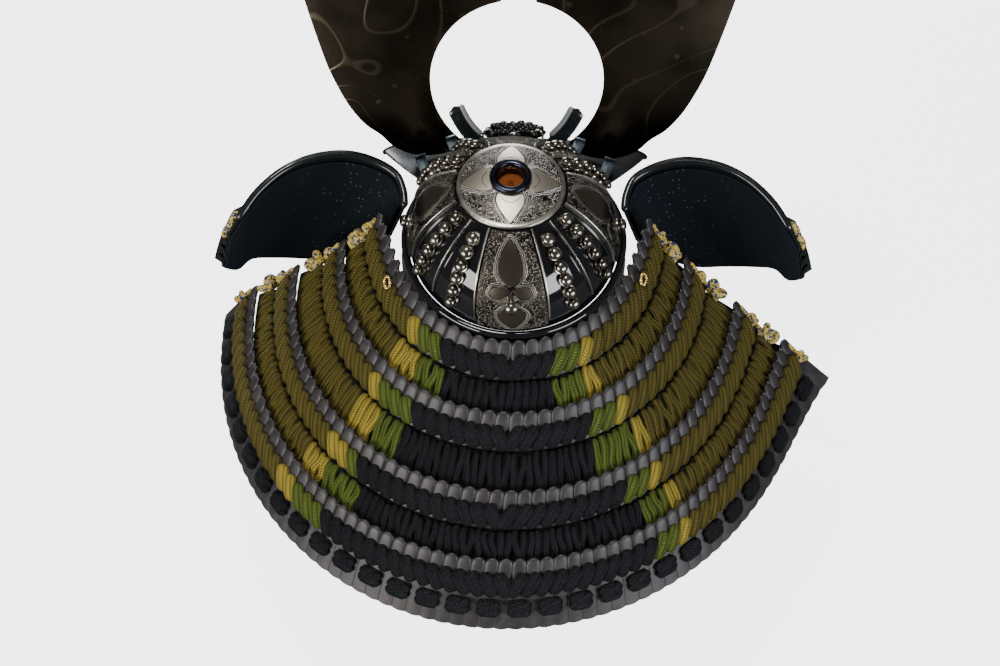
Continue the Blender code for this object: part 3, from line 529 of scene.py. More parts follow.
@dataclass(frozen=True)
class ScaleLacquer(Finish):
    """Satin grey lacquer of the scales: rubbed edges, a painted highlight along the tips, red
    specks, a line at each seam.
    """

    color: Color
    # colour of rubbed wear; seven times as light, it is also the painted highlight on the tips
    rubbed: Color
    undercoat: Color

    def dress(self, board: NodeBoard, shader: Node, coordinates: Node) -> None:
        """Add the nodes of the scale lacquer."""
        place = coordinates.outputs["Object"]
        across, along = board.split(coordinates.outputs["UV"])[:2]
        seam = board.fade(board.math("PINGPONG", across, 0.5), 0.01, 0.05)
        tone = board.noise(place, 180.0, 5.0)
        red = board.step(board.noise(place, 420.0, 2.0), 0.70, 0.76)
        worn = board.blend(board.step(tone, 0.40, 0.80), self.color, self.rubbed)
        speckled = board.blend(board.times(red, 0.7), worn, self.undercoat)
        # painted highlight: the top of each scale's tip is lightened to seven times the rubbed
        # colour, in patches
        tip = board.times(board.fade(along, 0.16, 0.42), board.step(tone, 0.30, 0.52))
        tips_painted_highlight = board.blend(tip, speckled, toned(self.rubbed, 7.0))
        grain = board.times(board.noise(place, 1500.0, 3.0), 0.25)
        height = board.math("SUBTRACT", grain, board.times(seam, 0.8))
        board.feed(shader, {
            "Base Color": board.blend(seam, tips_painted_highlight, toned(self.color, 0.45)),
            "Roughness": board.spread(tone, 0.38, 0.58),
            "Coat Weight": 0.08,
            "Coat Roughness": 0.3,
            "Normal": board.bump(height, 0.00012),
        })


@dataclass(frozen=True)
class LiningCloth(Finish):
    """Dark lining cloth with a fine weave and rings of small pale dots near the root."""

    color: Color
    dot: Color
    dotted: bool = True

    def dots(self, board: NodeBoard, uv: Socket) -> Socket:
        """Share of the pale dots, from the cloth's UV map."""
        across, down = board.split(uv)[:2]
        flat = board.add("ShaderNodeCombineXYZ")
        board.join(board.times(across, 26.0), flat.inputs[0])
        board.join(board.times(down, 15.0), flat.inputs[1])
        cells = board.cells(flat.outputs[0], 1.6)
        cells.inputs["Randomness"].default_value = 0.45
        spot = board.fade(cells.outputs["Distance"], 0.10, 0.20)
        rings = board.step(board.noise(flat.outputs[0], 0.55, 1.0), 0.42, 0.55)
        return board.times(board.times(spot, rings), board.fade(across, 0.25, 0.75))

    def dress(self, board: NodeBoard, shader: Node, coordinates: Node) -> None:
        """Add the cloth's nodes."""
        place = coordinates.outputs["Object"]
        x, _, z = board.split(place)
        threads = [board.math("SINE", board.times(axis, 9000.0)) for axis in (x, z)]
        weave = board.math("MULTIPLY_ADD", board.times(*threads), 0.5, 0.5)
        fuzz = board.noise(place, 800.0, 4.0)
        height = board.math("MULTIPLY_ADD", fuzz, 0.5, board.times(weave, 0.5))
        base = board.blend(height, toned(self.color, 0.5), self.color)
        if self.dotted:
            base = board.blend(self.dots(board, coordinates.outputs["UV"]), base, self.dot)
        board.feed(shader, {
            "Base Color": base,
            "Roughness": 0.90,
            "Specular IOR Level": 0.2,
            "Normal": board.bump(height, 0.00010),
        })


BLACK_MIRROR = Lacquer("black_mirror_lacquer", (0.006, 0.006, 0.008), 0.05, 0.6, 0.00001)
BLACK_GLOSS = Lacquer("black_gloss_lacquer", (0.010, 0.013, 0.015), 0.20, 0.4, 0.00002)
DARK_POLISH = Metal("dark_polished_metal", (0.44, 0.41, 0.35), (0.22, 0.20, 0.17), 0.19)
RIB_METAL = Metal("rib_metal", (0.80, 0.77, 0.70), (0.30, 0.29, 0.26), 0.26, 0.00003)
PLATE_EDGE = Metal("plate_edge_metal", (0.66, 0.61, 0.54), (0.40, 0.36, 0.31), 0.27, 0.00008)
RING_STEEL = Metal("ring_steel", (0.060, 0.066, 0.095), (0.02, 0.023, 0.036), 0.22, 0.00002)
STRAP_STEEL = Metal("strap_steel", (0.22, 0.28, 0.31), (0.10, 0.14, 0.16), 0.36, 0.00003)
# grey of the painted reflection strips along the holder's prongs
PRONG_PAINTED_REFLECTION = Lacquer("prong_painted_reflection", (0.30, 0.31, 0.32), 0.35, 0.3)
HORN_BRONZE = Embossed("horn_bronze", (0.085, 0.068, 0.047), (0.038, 0.031, 0.023), 0.22)
GILT = Metal("gilt_metal", (0.95, 0.70, 0.26), (0.70, 0.48, 0.15), 0.22, 0.00004, 900.0)
CROWN_ENGRAVED = Engraved(
    "crown_engraving", (0.74, 0.69, 0.64), (0.014, 0.012, 0.011), (0.62, 0.56, 0.46), 0.40, 0.56
)
DOME_ENGRAVED = Engraved(
    "dome_engraving", (0.48, 0.45, 0.40), (0.018, 0.016, 0.014), (0.24, 0.195, 0.15), 0.26, 0.38
)
SCALES = ScaleLacquer(
    "scale_lacquer", (0.030, 0.026, 0.028), (0.062, 0.055, 0.058), (0.16, 0.05, 0.035)
)
NAVY_LINING = LiningCloth("navy_lining", (0.008, 0.012, 0.018), (0.13, 0.15, 0.17))
ORANGE_LINING = LiningCloth("orange_lining", (0.42, 0.12, 0.025), (0.6, 0.2, 0.05), False)
SPECKLED = SpeckledCord(
    "speckled_silk", (1.0, 0.66, 0.02), (1.0, 0.92, 0.45), (0.006, 0.05, 0.24), (0.006, 0.006, 0.01)
)
# each dye's colour, then the colour of the painted highlight on its stitch tops, also its sheen's
# tint
CORD_COLORS: dict[Dye, tuple[Color, Color]] = {
    Dye.BLACK: ((0.0026, 0.0029, 0.0044), (0.016, 0.018, 0.027)),
    Dye.GREEN: ((0.078, 0.125, 0.009), (0.30, 0.39, 0.05)),
    Dye.YELLOW: ((0.56, 0.38, 0.02), (1.0, 0.80, 0.14)),
    Dye.OLIVE: ((0.060, 0.047, 0.004), (0.36, 0.29, 0.045)),
}


def cord_finishes(kind: str, columns: float) -> list[Cord]:
    """Return a sort of cord in the four dyes, with its columns of stitches round it."""
    return [Cord(f"{kind}_{dye.name.lower()}", *CORD_COLORS[dye], columns) for dye in Dye]


# ---------------------------------------------------------------- shapes


def between(low: float, high: float, share: float) -> float:
    """Value at a share of the way from low to high."""
    return low + (high - low) * share


def smooth_row(rows: Sequence[dict[str, float]], share: float) -> dict[str, float]:
    """Read a table of sections on a smooth curve through its rows.

    Args:
        rows: Sections with the same named columns.
        share: Place along the table, from 0 to 1.

    Returns:
        The section at that place.
    """
    place = min(max(share, 0.0), 1.0) * (len(rows) - 1)
    first = min(int(place), len(rows) - 2)
    t = place - first
    picked = [rows[min(max(first + step, 0), len(rows) - 1)] for step in (-1, 0, 1, 2)]
    weights = (
        (-t + 2 * t**2 - t**3) / 2,
        (2 - 5 * t**2 + 3 * t**3) / 2,
        (t + 4 * t**2 - 3 * t**3) / 2,
        (-(t**2) + t**3) / 2,
    )
    return {
        column: sum(weight * row[column] for weight, row in zip(weights, picked))
        for column in rows[0]
    }


def lifted(surface: Callable[[float, float], Vector], u: float, v: float, lift: float) -> Vector:
    """Move a point of a surface out along its normal.

    Args:
        surface: Gives a point at (u, v).
        u: First coordinate.
        v: Second coordinate.
        lift: Distance along the normal.

    Returns:
        The moved point.
    """
    step = 1e-4
    across = surface(u + step, v) - surface(u - step, v)
    along = surface(u, v + step) - surface(u, v - step)
    return surface(u, v) + across.cross(along).normalized() * lift


def facing(point: Vector, normal: Vector) -> Matrix:
    """Matrix that stands a shape at a point with its own +Z along a normal."""
    turn = Vector((0.0, 0.0, 1.0)).rotation_difference(normal)
    return Matrix.Translation(point) @ turn.to_matrix().to_4x4()


def thicken(bm: BMesh, wall: float) -> None:
    """Extrude a flat mesh up along +Z into a closed plate."""
    grown = bmesh.ops.extrude_face_region(bm, geom=list(bm.faces), use_keep_orig=True)
    top = [item for item in grown["geom"] if isinstance(item, bmesh.types.BMVert)]
    bmesh.ops.translate(bm, verts=top, vec=(0.0, 0.0, wall))


def slab(
    columns: int,
    rows: int,
    place: Place,
    closed: bool = False,
    uv_scale: tuple[float, float] = (1.0, 1.0),
) -> BMesh:
    """Bend a flat slab, where w is 0 on its inner face and 1 on its outer one.

    Args:
        columns: Faces along u.
        rows: Faces along v.
        place: Gives the point for u, v and w.
        closed: Join the slab's two ends along u.
        uv_scale: Size of the UV map.

    Returns:
        The bent slab.
    """
    bm = bmesh.new()
    layer = bm.loops.layers.uv.new("UVMap")
    bmesh.ops.create_grid(bm, x_segments=columns, y_segments=rows, size=0.5)
    for face in bm.faces:
        for loop in face.loops:
            co = loop.vert.co
            loop[layer].uv = ((co.x + 0.5) * uv_scale[0], (co.y + 0.5) * uv_scale[1])
    thicken(bm, 1.0)
    if closed:
        ends = [
            face for face in bm.faces if abs(abs(face.calc_center_median().x) - 0.5) < 1e-6
        ]
        bmesh.ops.delete(bm, geom=ends, context="FACES_ONLY")
    for vert in bm.verts:
        vert.co = place(vert.co.x + 0.5, vert.co.y + 0.5, vert.co.z)
    return bm


@dataclass
class Strand:
    """A length of cord: its line, and the ring's frame and half sizes at each station."""

    points: list[Vector] = field(default_factory=list)
    across: list[Vector] = field(default_factory=list)
    out: list[Vector] = field(default_factory=list)
    half_width: list[float] = field(default_factory=list)
    half_height: list[float] = field(default_factory=list)
    square: float = 1.0

    def station(
        self, point: Vector, across: Vector, out: Vector, half_width: float, half_height: float
    ) -> None:
        """Add a station to the end of the line."""
        self.points.append(point)
        self.across.append(across)
        self.out.append(out)
        self.half_width.append(half_width)
        self.half_height.append(half_height)

    def length_mm(self) -> float:
        """Length of the line in millimetres."""
        pairs = zip(self.points, self.points[1:])
        return 1000.0 * sum((second - first).length for first, second in pairs)

    def add_to(self, bm: BMesh, around: int, material: int = 0) -> None:
        """Add this strand to a mesh as a closed sleeve.

        Args:
            bm: Mesh that takes it.
            around: Faces round the strand.
            material: Material place of its faces.
        """
        layer = bm.loops.layers.uv.verify()
        rows = len(self.points) - 1
        made = bmesh.ops.create_grid(bm, x_segments=around, y_segments=rows, size=0.5)["verts"]
        length = self.length_mm()
        for face in {face for vert in made for face in vert.link_faces}:
            face.material_index = material
            face.smooth = True
            for loop in face.loops:
                co = loop.vert.co
                loop[layer].uv = (co.x + 0.5, (co.y + 0.5) * length)
        for vert in made:
            turn = math.tau * (vert.co.x + 0.5)
            row = round((vert.co.y + 0.5) * rows)
            side, rise = math.cos(turn), math.sin(turn)
            side = math.copysign(abs(side) ** self.square, side)
            rise = math.copysign(abs(rise) ** self.square, rise)
            vert.co = (
                self.points[row]
                + self.across[row] * (self.half_width[row] * side)
                + self.out[row] * (self.half_height[row] * rise)
            )


# degrees past which an edge of a cord stays sharp, and the stations along a short cord
CORD_SHARP = 70.0
CORD_STATIONS = (0.0, 0.02, 0.07, 0.16, 0.30, 0.50, 0.70, 0.84, 0.93, 0.98, 1.0)


def end_round(share: float, cap: float) -> float:
    """Half size of a round-ended strand, as a share of its full half size.

    Args:
        share: Place along the strand.
        cap: Share of the length that each round end takes.

    Returns:
        A value from 0 at the ends to 1.
    """
    inner = min(share, 1.0 - share) / cap
    if inner >= 1.0:
        return 1.0
    return math.sqrt(max(0.0, 1.0 - (1.0 - inner) ** 2))


def ring_tube(points: Sequence[Vector], radius: float, closed: bool = False) -> Strand:
    """Round tube along a line, with frames carried along it.

    Args:
        points: Points of the line.
        radius: Radius of the tube.
        closed: The line comes back to its first point.

    Returns:
        The strand; an open one has round ends.
    """
    line = list(points)
    count = len(line)
    tangents = []
    for index in range(count):
        before = line[(index - 1) % count] if closed or index else line[0]
        after = line[(index + 1) % count] if closed or index < count - 1 else line[-1]
        tangents.append((after - before).normalized())
    side = tangents[0].orthogonal().normalized()
    across, out = [], []
    for tangent in tangents:
        side = (side - tangent * side.dot(tangent)).normalized()
        across.append(side.copy())
        out.append(tangent.cross(side))
    if closed:
        line.append(line[0].copy())
        across.append(across[0].copy())
        out.append(out[0].copy())
        sizes = [radius] * (count + 1)
    else:
        first, last = line[0], line[-1]
        line = [first - tangents[0] * radius, *line, last + tangents[-1] * radius]
        across = [across[0], *across, across[-1]]
        out = [out[0], *out, out[-1]]
        sizes = [0.0, *[radius] * count, 0.0]
        for place in (1, -2):
            sizes[place] = radius * 0.86
    return Strand(line, across, out, sizes, list(sizes))


def cap_open_ends(bm: BMesh, weld: float) -> None:
    """Merge the points of a mesh that are closer than weld, and cap its open ends."""
    bmesh.ops.remove_doubles(bm, verts=bm.verts, dist=weld)
    rim = [edge for edge in bm.edges if edge.is_boundary]
    if rim:
        bmesh.ops.holes_fill(bm, edges=rim, sides=0)


def spun(profile: Outline, steps: int) -> BMesh:
    """Turn an open profile of (radius, height) about +Z into a closed solid.

    Args:
        profile: Points from the foot's edge up to the axis.
        steps: Faces round the axis.

    Returns:
        The turned mesh, with its foot closed.
    """
    bm = bmesh.new()
    points = [bm.verts.new((radius, 0.0, height)) for radius, height in profile]
    edges = [bm.edges.new(pair) for pair in zip(points, points[1:])]
    bmesh.ops.spin(
        bm,
        geom=points + edges,
        axis=(0.0, 0.0, 1.0),
        cent=(0.0, 0.0, 0.0),
        angle=math.tau,
        steps=steps,
        use_merge=True,
    )
    cap_open_ends(bm, 1e-7)
    return bm


def gather(target: BMesh, source: BMesh, material: int = 0) -> None:
    """Add a mesh to another and free it.

    Args:
        target: Mesh that grows.
        source: Mesh that is added.
        material: Material place of the added faces.
    """
    for face in source.faces:
        face.material_index = material
    data = bpy.data.meshes.new("gathered")
    source.to_mesh(data)
    source.free()
    target.from_mesh(data)
    bpy.data.meshes.remove(data)


def face_outwards(bm: BMesh) -> None:
    """Turn the faces of each closed body in a mesh outwards."""
    bmesh.ops.recalc_face_normals(bm, faces=bm.faces)
    waiting = set(bm.faces)
    while waiting:
        island = [waiting.pop()]
        for face in island:
            for edge in face.edges:
                for other in edge.link_faces:
                    if other in waiting:
                        waiting.remove(other)
                        island.append(other)
        volume = sum(
            face.calc_center_median().dot(face.normal) * face.calc_area() for face in island
        )
        if volume < 0.0:
            bmesh.ops.reverse_faces(bm, faces=island)


def make_piece(
    name: str,
    bm: BMesh,
    finishes: Sequence[Finish],
    nodes: Sequence[str] = (),
    sharp: float = 40.0,
) -> Piece:
    """Finish a mesh as a named piece of the helmet.

    Args:
        name: Name of the piece.
        bm: Its mesh, which is freed.
        finishes: Finishes in the order of the faces' places.
        nodes: CAD nodes that it stands for.
        sharp: Angle past which an edge stays sharp, in degrees.

    Returns:
        The new object.
    """
    bmesh.ops.remove_doubles(bm, verts=bm.verts, dist=WELD)
    bmesh.ops.dissolve_degenerate(bm, edges=bm.edges, dist=1e-7)
    face_outwards(bm)
    mesh = bpy.data.meshes.new(name)
    bm.to_mesh(mesh)
    bm.free()
    mesh.shade_smooth()
    mesh.set_sharp_from_angle(angle=math.radians(sharp))
    for finish in finishes:
        mesh.materials.append(finish.material())
    obj = bpy.data.objects.new(name, mesh)
    bpy.context.scene.collection.objects.link(obj)
    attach(obj, "root")
    if nodes:
        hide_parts(*nodes)
    LOG.info("%s: %d faces", name, len(mesh.polygons))
    return obj


def bevelled(obj: Piece, width: float, segments: int = 2) -> None:
    """Round a piece's sharp edges with a Bevel modifier."""
    rounding = obj.modifiers.new("rounding", "BEVEL")
    rounding.width = width
    rounding.segments = segments
    rounding.limit_method = "ANGLE"
    rounding.angle_limit = math.radians(40.0)


def mark_distance(
    obj: Piece,
    plan: Outline,
    outlines: Sequence[Outline],
) -> None:
    """Store each vertex's distance to the nearest outline, in millimetres and negative inside.

    Args:
        obj: Piece that takes the petal_distance attribute.
        plan: Place of each vertex in the outlines' plane, in metres.
        outlines: Closed outlines in metres.
    """
    spots = np.array(plan)
    best = np.full(len(spots), 1.0)
    for outline in outlines:
        start = np.array(outline)
        end = np.roll(start, -1, axis=0)
        edge = end - start
        reach = spots[:, None, :] - start[None, :, :]
        share = (reach * edge).sum(2) / np.maximum((edge * edge).sum(1), 1e-16)
        nearest = reach - np.clip(share, 0.0, 1.0)[..., None] * edge
        away = np.sqrt((nearest**2).sum(2)).min(1)
        above = (start[None, :, 1] > spots[:, 1:2]) != (end[None, :, 1] > spots[:, 1:2])
        rise = np.where(edge[:, 1] == 0.0, 1e-12, edge[:, 1])
        cross = start[None, :, 0] + (spots[:, 1:2] - start[None, :, 1]) * edge[:, 0] / rise
        inside = (above & (spots[:, :1] < cross)).sum(1) % 2 == 1
        signed = np.where(inside, -away, away)
        best = np.where(np.abs(signed) < np.abs(best), signed, np.minimum(best, signed))
    field_data = obj.data.attributes.new("petal_distance", "FLOAT", "POINT")
    field_data.data.foreach_set("value", (best * 1000.0).astype(np.float32))


# ---------------------------------------------------------------- forms shared by the pieces


@dataclass(frozen=True)
class BowlForm:
    """The bowl's outer face and the lines on it."""

    half_width: float = 0.0392
    half_depth: float = 0.0422
    front_depth: float = 0.0380
    height: float = 0.0355
    wall: float = 0.0012
    lean: float = 0.0018
    gap: float = 0.0004
    crown_hole: float = 0.0052
    plate_radius: float = 0.0196

    def depth_at(self, turn: float) -> float:
        """Half depth on the side that a turn in degrees faces."""
        return self.half_depth if math.cos(math.radians(turn)) > 0.0 else self.front_depth

    def surface(self, turn: float, up: float) -> Vector:
        """Point at a turn from the back and an angle up from the rim, in degrees."""
        depth = self.depth_at(turn)
        turn, up = math.radians(turn), math.radians(up)
        return Vector((
            self.half_width * math.cos(up) * math.sin(turn) + self.lean * math.sin(up),
            depth * math.cos(up) * math.cos(turn),
            self.height * math.sin(up),
        ))

    def point(self, turn: float, up: float, lift: float) -> Vector:
        """Point at a lift above the outer face."""
        return lifted(self.surface, turn, up, -lift)

    def normal(self, turn: float, up: float) -> Vector:
        """Outward direction of the outer face."""
        return (self.point(turn, up, 1e-3) - self.point(turn, up, 0.0)).normalized()

    def reach(self, turn: float) -> float:
        """Distance of the rim from the axis at a turn from the back."""
        around = math.radians(turn)
        return math.hypot(
            self.half_width * math.sin(around), self.depth_at(turn) * math.cos(around)
        )

    def angle_at_radius(self, radius: float, turn: float = 90.0) -> float:
        """Angle up from the rim where the bowl is this far from its axis."""
        return math.degrees(math.acos(radius / self.reach(turn)))

    def angle_at_rise(self, rise: float) -> float:
        """Angle up from the rim where the bowl has this height."""
        return math.degrees(math.asin(rise / self.height))

    def degrees_across(self, length: float, up: float) -> float:
        """Turn in degrees that a length round the bowl takes at this height."""
        return math.degrees(length / (self.half_width * math.cos(math.radians(up))))

    def turn_between(self, crown: float, rim: float, up: float) -> float:
        """Turn of a line that runs from the rim to the crown plate's edge."""
        top = self.angle_at_radius(self.plate_radius)
        return between(rim, crown, min(up / top, 1.0))


@dataclass(frozen=True)
class NeckForm:
    """The neck guard's skin, its lames and the places along them."""

    ring_width: float = 0.0423
    ring_depth: float = 0.0453
    ring_front: float = 0.0411
    top_room: float = 0.0009
    top_back: float = 0.0012
    spread: float = 0.93
    top_flare: float = 0.0048
    hem_right: float = 0.0010
    hem_left: float = 0.0098
    half_width: float = 0.1207
    half_depth: float = 0.1290
    drop: float = 0.0720
    turn: float = 6.2
    end_top: float = 0.0112
    end_bottom: float = 0.0025
    starts: tuple[float, ...] = (0.0, 0.240, 0.507, 0.743)
    wall: float = 0.0012
    lame_length: float = 0.0170
    tilt: float = 0.2235
    head_length: float = 0.0061
    head_bulge: float = 0.0008
    gap: float = 0.0004
    narrow_width: float = 0.0080
    narrow_wall: float = 0.0022
    wide_wall: float = 0.0028
    wide_tuck: float = 0.0015
    margin: float = 0.0052

    @property
    def slant(self) -> float:
        """Length of the guard's slope at the back."""
        return math.hypot(self.depth_at(1.0) - self.depth_at(0.0), self.drop)

    def width_at(self, share: float) -> float:
        """Half width of the skin at a share of the slant."""
        return between(self.ring_width + self.top_room, self.half_width, share)

    def depth_at(self, share: float) -> float:
        """Half depth of the skin at a share of the slant."""
        return between(self.ring_depth + self.top_back, self.half_depth, share)

    def end_at(self, share: float, margin: float) -> float:
        """Turn from the back to the guard's end, drawn in by a margin."""
        depth = self.depth_at(share)
        end = math.acos(-between(self.end_top, self.end_bottom, share) / depth)
        return end - margin / depth

    def surface(self, turn: float, share: float) -> Vector:
        """Point of the outer skin at a turn from the back and a share of the slant."""
        inward = max(share, 0.0)
        width = self.width_at(inward**self.spread)
        depth = self.depth_at(share)
        end = 2.0 * abs(turn) / math.pi
        hem = self.hem_right if turn > 0.0 else self.hem_left
        flare = self.top_flare * (1.0 - share) ** 4 * end**5 + hem * inward**3 * end**10
        x = width * math.sin(turn) + math.copysign(flare, turn)
        y = depth * math.cos(turn)
        twist = math.radians(self.turn) * math.sin(math.pi / 2 * share)
        return Vector((
            x * math.cos(twist) + y * math.sin(twist),
            y * math.cos(twist) - x * math.sin(twist),
            -self.drop * share,
        ))

    def point(self, side: float, slant: float, lift: float, margin: float = 0.0) -> Vector:
        """Point between the guard's ends.

        Args:
            side: From -1 to 1 between the ends.
            slant: Distance down the slope in metres.
            lift: Distance above the skin.
            margin: Distance that the ends are drawn in.

        Returns:
            The point.
        """
        share = slant / self.slant
        return lifted(self.surface, side * self.end_at(share, margin), share, lift)

    def start(self, lame: int) -> float:
        """Slant at which a lame begins."""
        return self.starts[lame] * self.slant

    def lame_lift(self, along: float) -> float:
        """Lift of a lame's middle face at a distance from its top."""
        return -(self.head_bulge + self.wall / 2) - self.tilt * along

    def frame_at(
        self, side: float, slant: float, lift: float, margin: float = 0.0
    ) -> tuple[Vector, Vector, Vector, Vector]:
        """Point with its directions.

        Args:
            side: From -1 to 1 between the ends.
            slant: Distance down the slope.
            lift: Distance above the skin.
            margin: Distance that the ends are drawn in.

        Returns:
            The point, the direction across towards +side, down the slope, and out.
        """
        here = self.point(side, slant, lift, margin)
        across = (self.point(side + 1e-3, slant, lift, margin) - here).normalized()
        down = (self.point(side, slant + 1e-4, lift, margin) - here).normalized()
        out = across.cross(down).normalized()
        probe = self.point(side, slant, lift + 1e-3, margin) - here
        if out.dot(probe) < 0.0:
            out.negate()
        return here, across, down, out

    def arc_share(self, lame: int, along: float) -> float:
        """Half the length of a band's line at a distance from its lame's top, near the back."""
        share = (self.start(lame) + along) / self.slant
        mean = (self.width_at(share) + self.depth_at(share)) / 2
        return self.end_at(share, self.margin) * mean

    def arc(self, lame: int, along: float, margin: float = 0.0) -> float:
        """Length of a lame's line at a distance from its top."""
        slant, lift = self.start(lame) + along, self.lame_lift(along)
        line = [self.point(step / 40.0, slant, lift, margin) for step in range(-40, 41)]
        return sum((second - first).length for first, second in zip(line, line[1:]))


BOWL = BowlForm()
NECK = NeckForm()


# ---------------------------------------------------------------- bowl


@dataclass
class Bowl:
    """Lacquered bowl, its rim ring and the lining that shows through the crown hole."""

    form: BowlForm = BOWL
    columns: int = 120
    rows: int = 28
    ring_radius: float = 0.0014
    seat_gap: float = 0.0003
    lining_radius: float = 0.0150
    lining_wall: float = 0.0010

    def build_shell(self) -> None:
        """Build the bowl's shell."""
        top = self.form.angle_at_radius(self.form.crown_hole)

        def place(u: float, v: float, w: float) -> Vector:
            """Point of the shell."""
            return self.form.point(-360.0 * u, top * v, self.form.wall * (w - 1.0))

        shell = slab(self.columns, self.rows, place, closed=True)
        make_piece("bowl_shell", shell, [BLACK_MIRROR], ["bowl"])

    def build_ring(self) -> None:
        """Build the round bar along the rim."""
        radius = self.ring_radius
        width = self.form.half_width + self.seat_gap + radius
        line = []
        for step in range(160):
            turn = math.tau * step / 160
            depth = self.form.depth_at(math.degrees(turn)) + self.seat_gap + radius
            line.append(Vector((width * math.sin(turn), depth * math.cos(turn), 0.0)))
        bm = bmesh.new()
        ring_tube(line, radius, closed=True).add_to(bm, 20)
        make_piece("rim_bar", bm, [BLACK_MIRROR], ["rim_ring"])

    def build_collar(self) -> None:
        """Build the narrow upright band under the rim bar that holds the neck guard."""

        def place(u: float, v: float, w: float) -> Vector:
            """Point of the band."""
            turn = math.radians(between(102.0, -102.0, u))
            grown = 0.0010 + 0.0006 * w + 0.0016 * v
            return Vector((
                (self.form.half_width + grown) * math.sin(turn),
                (self.form.half_depth + grown) * math.cos(turn),
                between(-0.0017, -0.0110, v),
            ))

        make_piece("rim_collar", slab(96, 4, place), [BLACK_GLOSS])

    def build_lining(self) -> None:
        """Build the orange cloth under the crown hole."""

        def place(u: float, v: float, w: float) -> Vector:
            """Point of the lining's cap."""
            x, y = 2.0 * u - 1.0, 2.0 * v - 1.0
            reach = Vector((x * math.sqrt(1.0 - y * y / 2.0), y * math.sqrt(1.0 - x * x / 2.0)))
            turn = math.degrees(math.atan2(reach.x, reach.y))
            up = self.form.angle_at_radius(max(reach.length, 1e-3) * self.lining_radius)
            pucker = 0.00035 * math.sin(7.0 * math.radians(turn)) * reach.length
            lift = -self.form.wall - 2.0 * self.form.gap + self.lining_wall * (w - 1.0) + pucker
            return self.form.point(turn, up, lift)

        cap = slab(24, 24, place)
        make_piece("crown_cloth", cap, [ORANGE_LINING], ["crown_lining"])

    def build(self) -> None:
        """Build the bowl's pieces."""
        self.build_shell()
        self.build_ring()
        self.build_collar()
        self.build_lining()


@dataclass
class CrownPlate:
    """Round engraved plate with four petals, and the steel ring in its middle."""

    form: BowlForm = BOWL
    columns: int = 192
    rows: int = 44
    wall: float = 0.0009
    rim_width: float = 0.0011
    ring_tube: float = 0.0011
    ring_height: float = 0.0024
    petal_root: float = 0.0066
    petal_wide: float = 0.0092
    petal_tip: float = 0.0181
    petal_half: float = 0.0052

    def petal(self, turn: float) -> list[tuple[float, float]]:
        """Outline of one petal in plan.

        Args:
            turn: Direction of its tip in degrees from the back.

        Returns:
            Points of the closed outline.
        """
        half_side = []
        for step in range(17):
            share = step / 16
            if share < 0.25:
                local = share / 0.25
                out = between(self.petal_root, self.petal_wide, local)
                across = self.petal_half * between(0.86, 1.0, math.sin(local * math.pi / 2))
            else:
                local = (share - 0.25) / 0.75
                out = between(self.petal_wide, self.petal_tip, local)
                across = self.petal_half * (1.0 - local**1.35) ** 0.92
            half_side.append((across, out))
        shape = half_side + [(-across, out) for across, out in reversed(half_side[:-1])]
        angle = math.radians(turn)
        return [
            (
                across * math.cos(angle) + out * math.sin(angle),
                out * math.cos(angle) - across * math.sin(angle),
            )
            for across, out in shape
        ]

    def build_plate(self) -> None:
        """Build the domed plate with its raised, lightly hammered rim."""
        inner = self.form.angle_at_radius(self.form.crown_hole)
        plan = []

        def place(u: float, v: float, w: float) -> Vector:
            """Point of the plate."""
            turn = -360.0 * u
            up = between(self.form.angle_at_radius(self.form.plate_radius, turn), inner, v)
            radius = self.form.reach(turn) * math.cos(math.radians(up))
            edge = max(0.0, 1.0 - (self.form.plate_radius - radius) / self.rim_width)
            hammer = 0.00006 * math.sin(57.0 * math.tau * u) * edge
            round_off = -0.00045 * edge**3 + 0.00022 * math.sin(math.pi * edge)
            lift = self.form.gap + (self.wall + round_off + hammer) * w
            return self.form.point(turn, up, lift)

        plate = slab(self.columns, self.rows, place, closed=True)
        obj = make_piece(
            "crown_disc", plate, [CROWN_ENGRAVED, PLATE_EDGE], ["crown_plate"]
        )
        for vert in obj.data.vertices:
            lean = self.form.lean * vert.co.z / self.form.height
            plan.append((vert.co.x - lean, vert.co.y))
        mark_distance(obj, plan, [self.petal(turn) for turn in QUARTERS])
        edge_start = self.form.plate_radius - self.rim_width
        for polygon in obj.data.polygons:
            reach = max(math.hypot(*plan[index]) for index in polygon.vertices)
            polygon.material_index = int(reach > edge_start + 1e-5)

    def build_arcs(self) -> None:
        """Build the small engraved arc near the root of each petal."""
        bm = bmesh.new()
        for turn in QUARTERS:
            line = []
            for step in range(15):
                share = 2.0 * step / 14 - 1.0
                out = 0.0082 + 0.0019 * (1.0 - share * share)
                across = 0.0034 * share
                radius = math.hypot(out, across)
                here = turn + math.degrees(math.atan2(across, out))
                up = self.form.angle_at_radius(radius, here)
                line.append(self.form.point(here, up, self.form.gap + self.wall))
            ring_tube(line, 0.00011).add_to(bm, 6)
        make_piece("petal_arcs", bm, [RING_STEEL])

    def build_ring(self) -> None:
        """Build the rounded steel ring."""
        outer = self.form.crown_hole + 2.0 * self.ring_tube + 0.0003
        inner = self.form.crown_hole - 0.0002
        foot = self.form.gap + self.wall
        base = max(
            self.form.point(turn, self.form.angle_at_radius(self.form.crown_hole), foot).z
            for turn in QUARTERS
        )
        middle, half = (outer + inner) / 2, (outer - inner) / 2
        bm = bmesh.new()
        line = [
            Vector((
                middle * math.sin(turn) + self.form.lean,
                middle * math.cos(turn),
                base + self.ring_height / 2 - 0.0001,
            ))
            for turn in (math.tau * step / 64 for step in range(64))
        ]
        ring = ring_tube(line, half, closed=True)
        for row, point in enumerate(ring.points):
            flat = Vector((point.x - self.form.lean, point.y, 0.0)).normalized()
            ring.across[row] = flat
            ring.out[row] = Vector((0.0, 0.0, 1.0))
        ring.half_height = [self.ring_height / 2] * len(ring.points)
        ring.square = 0.8
        ring.add_to(bm, 24)
        make_piece("crown_ring_turned", bm, [RING_STEEL], ["crown_ring"])

    def build(self) -> None:
        """Build the crown plate's pieces."""
        self.build_plate()
        self.build_arcs()
        self.build_ring()


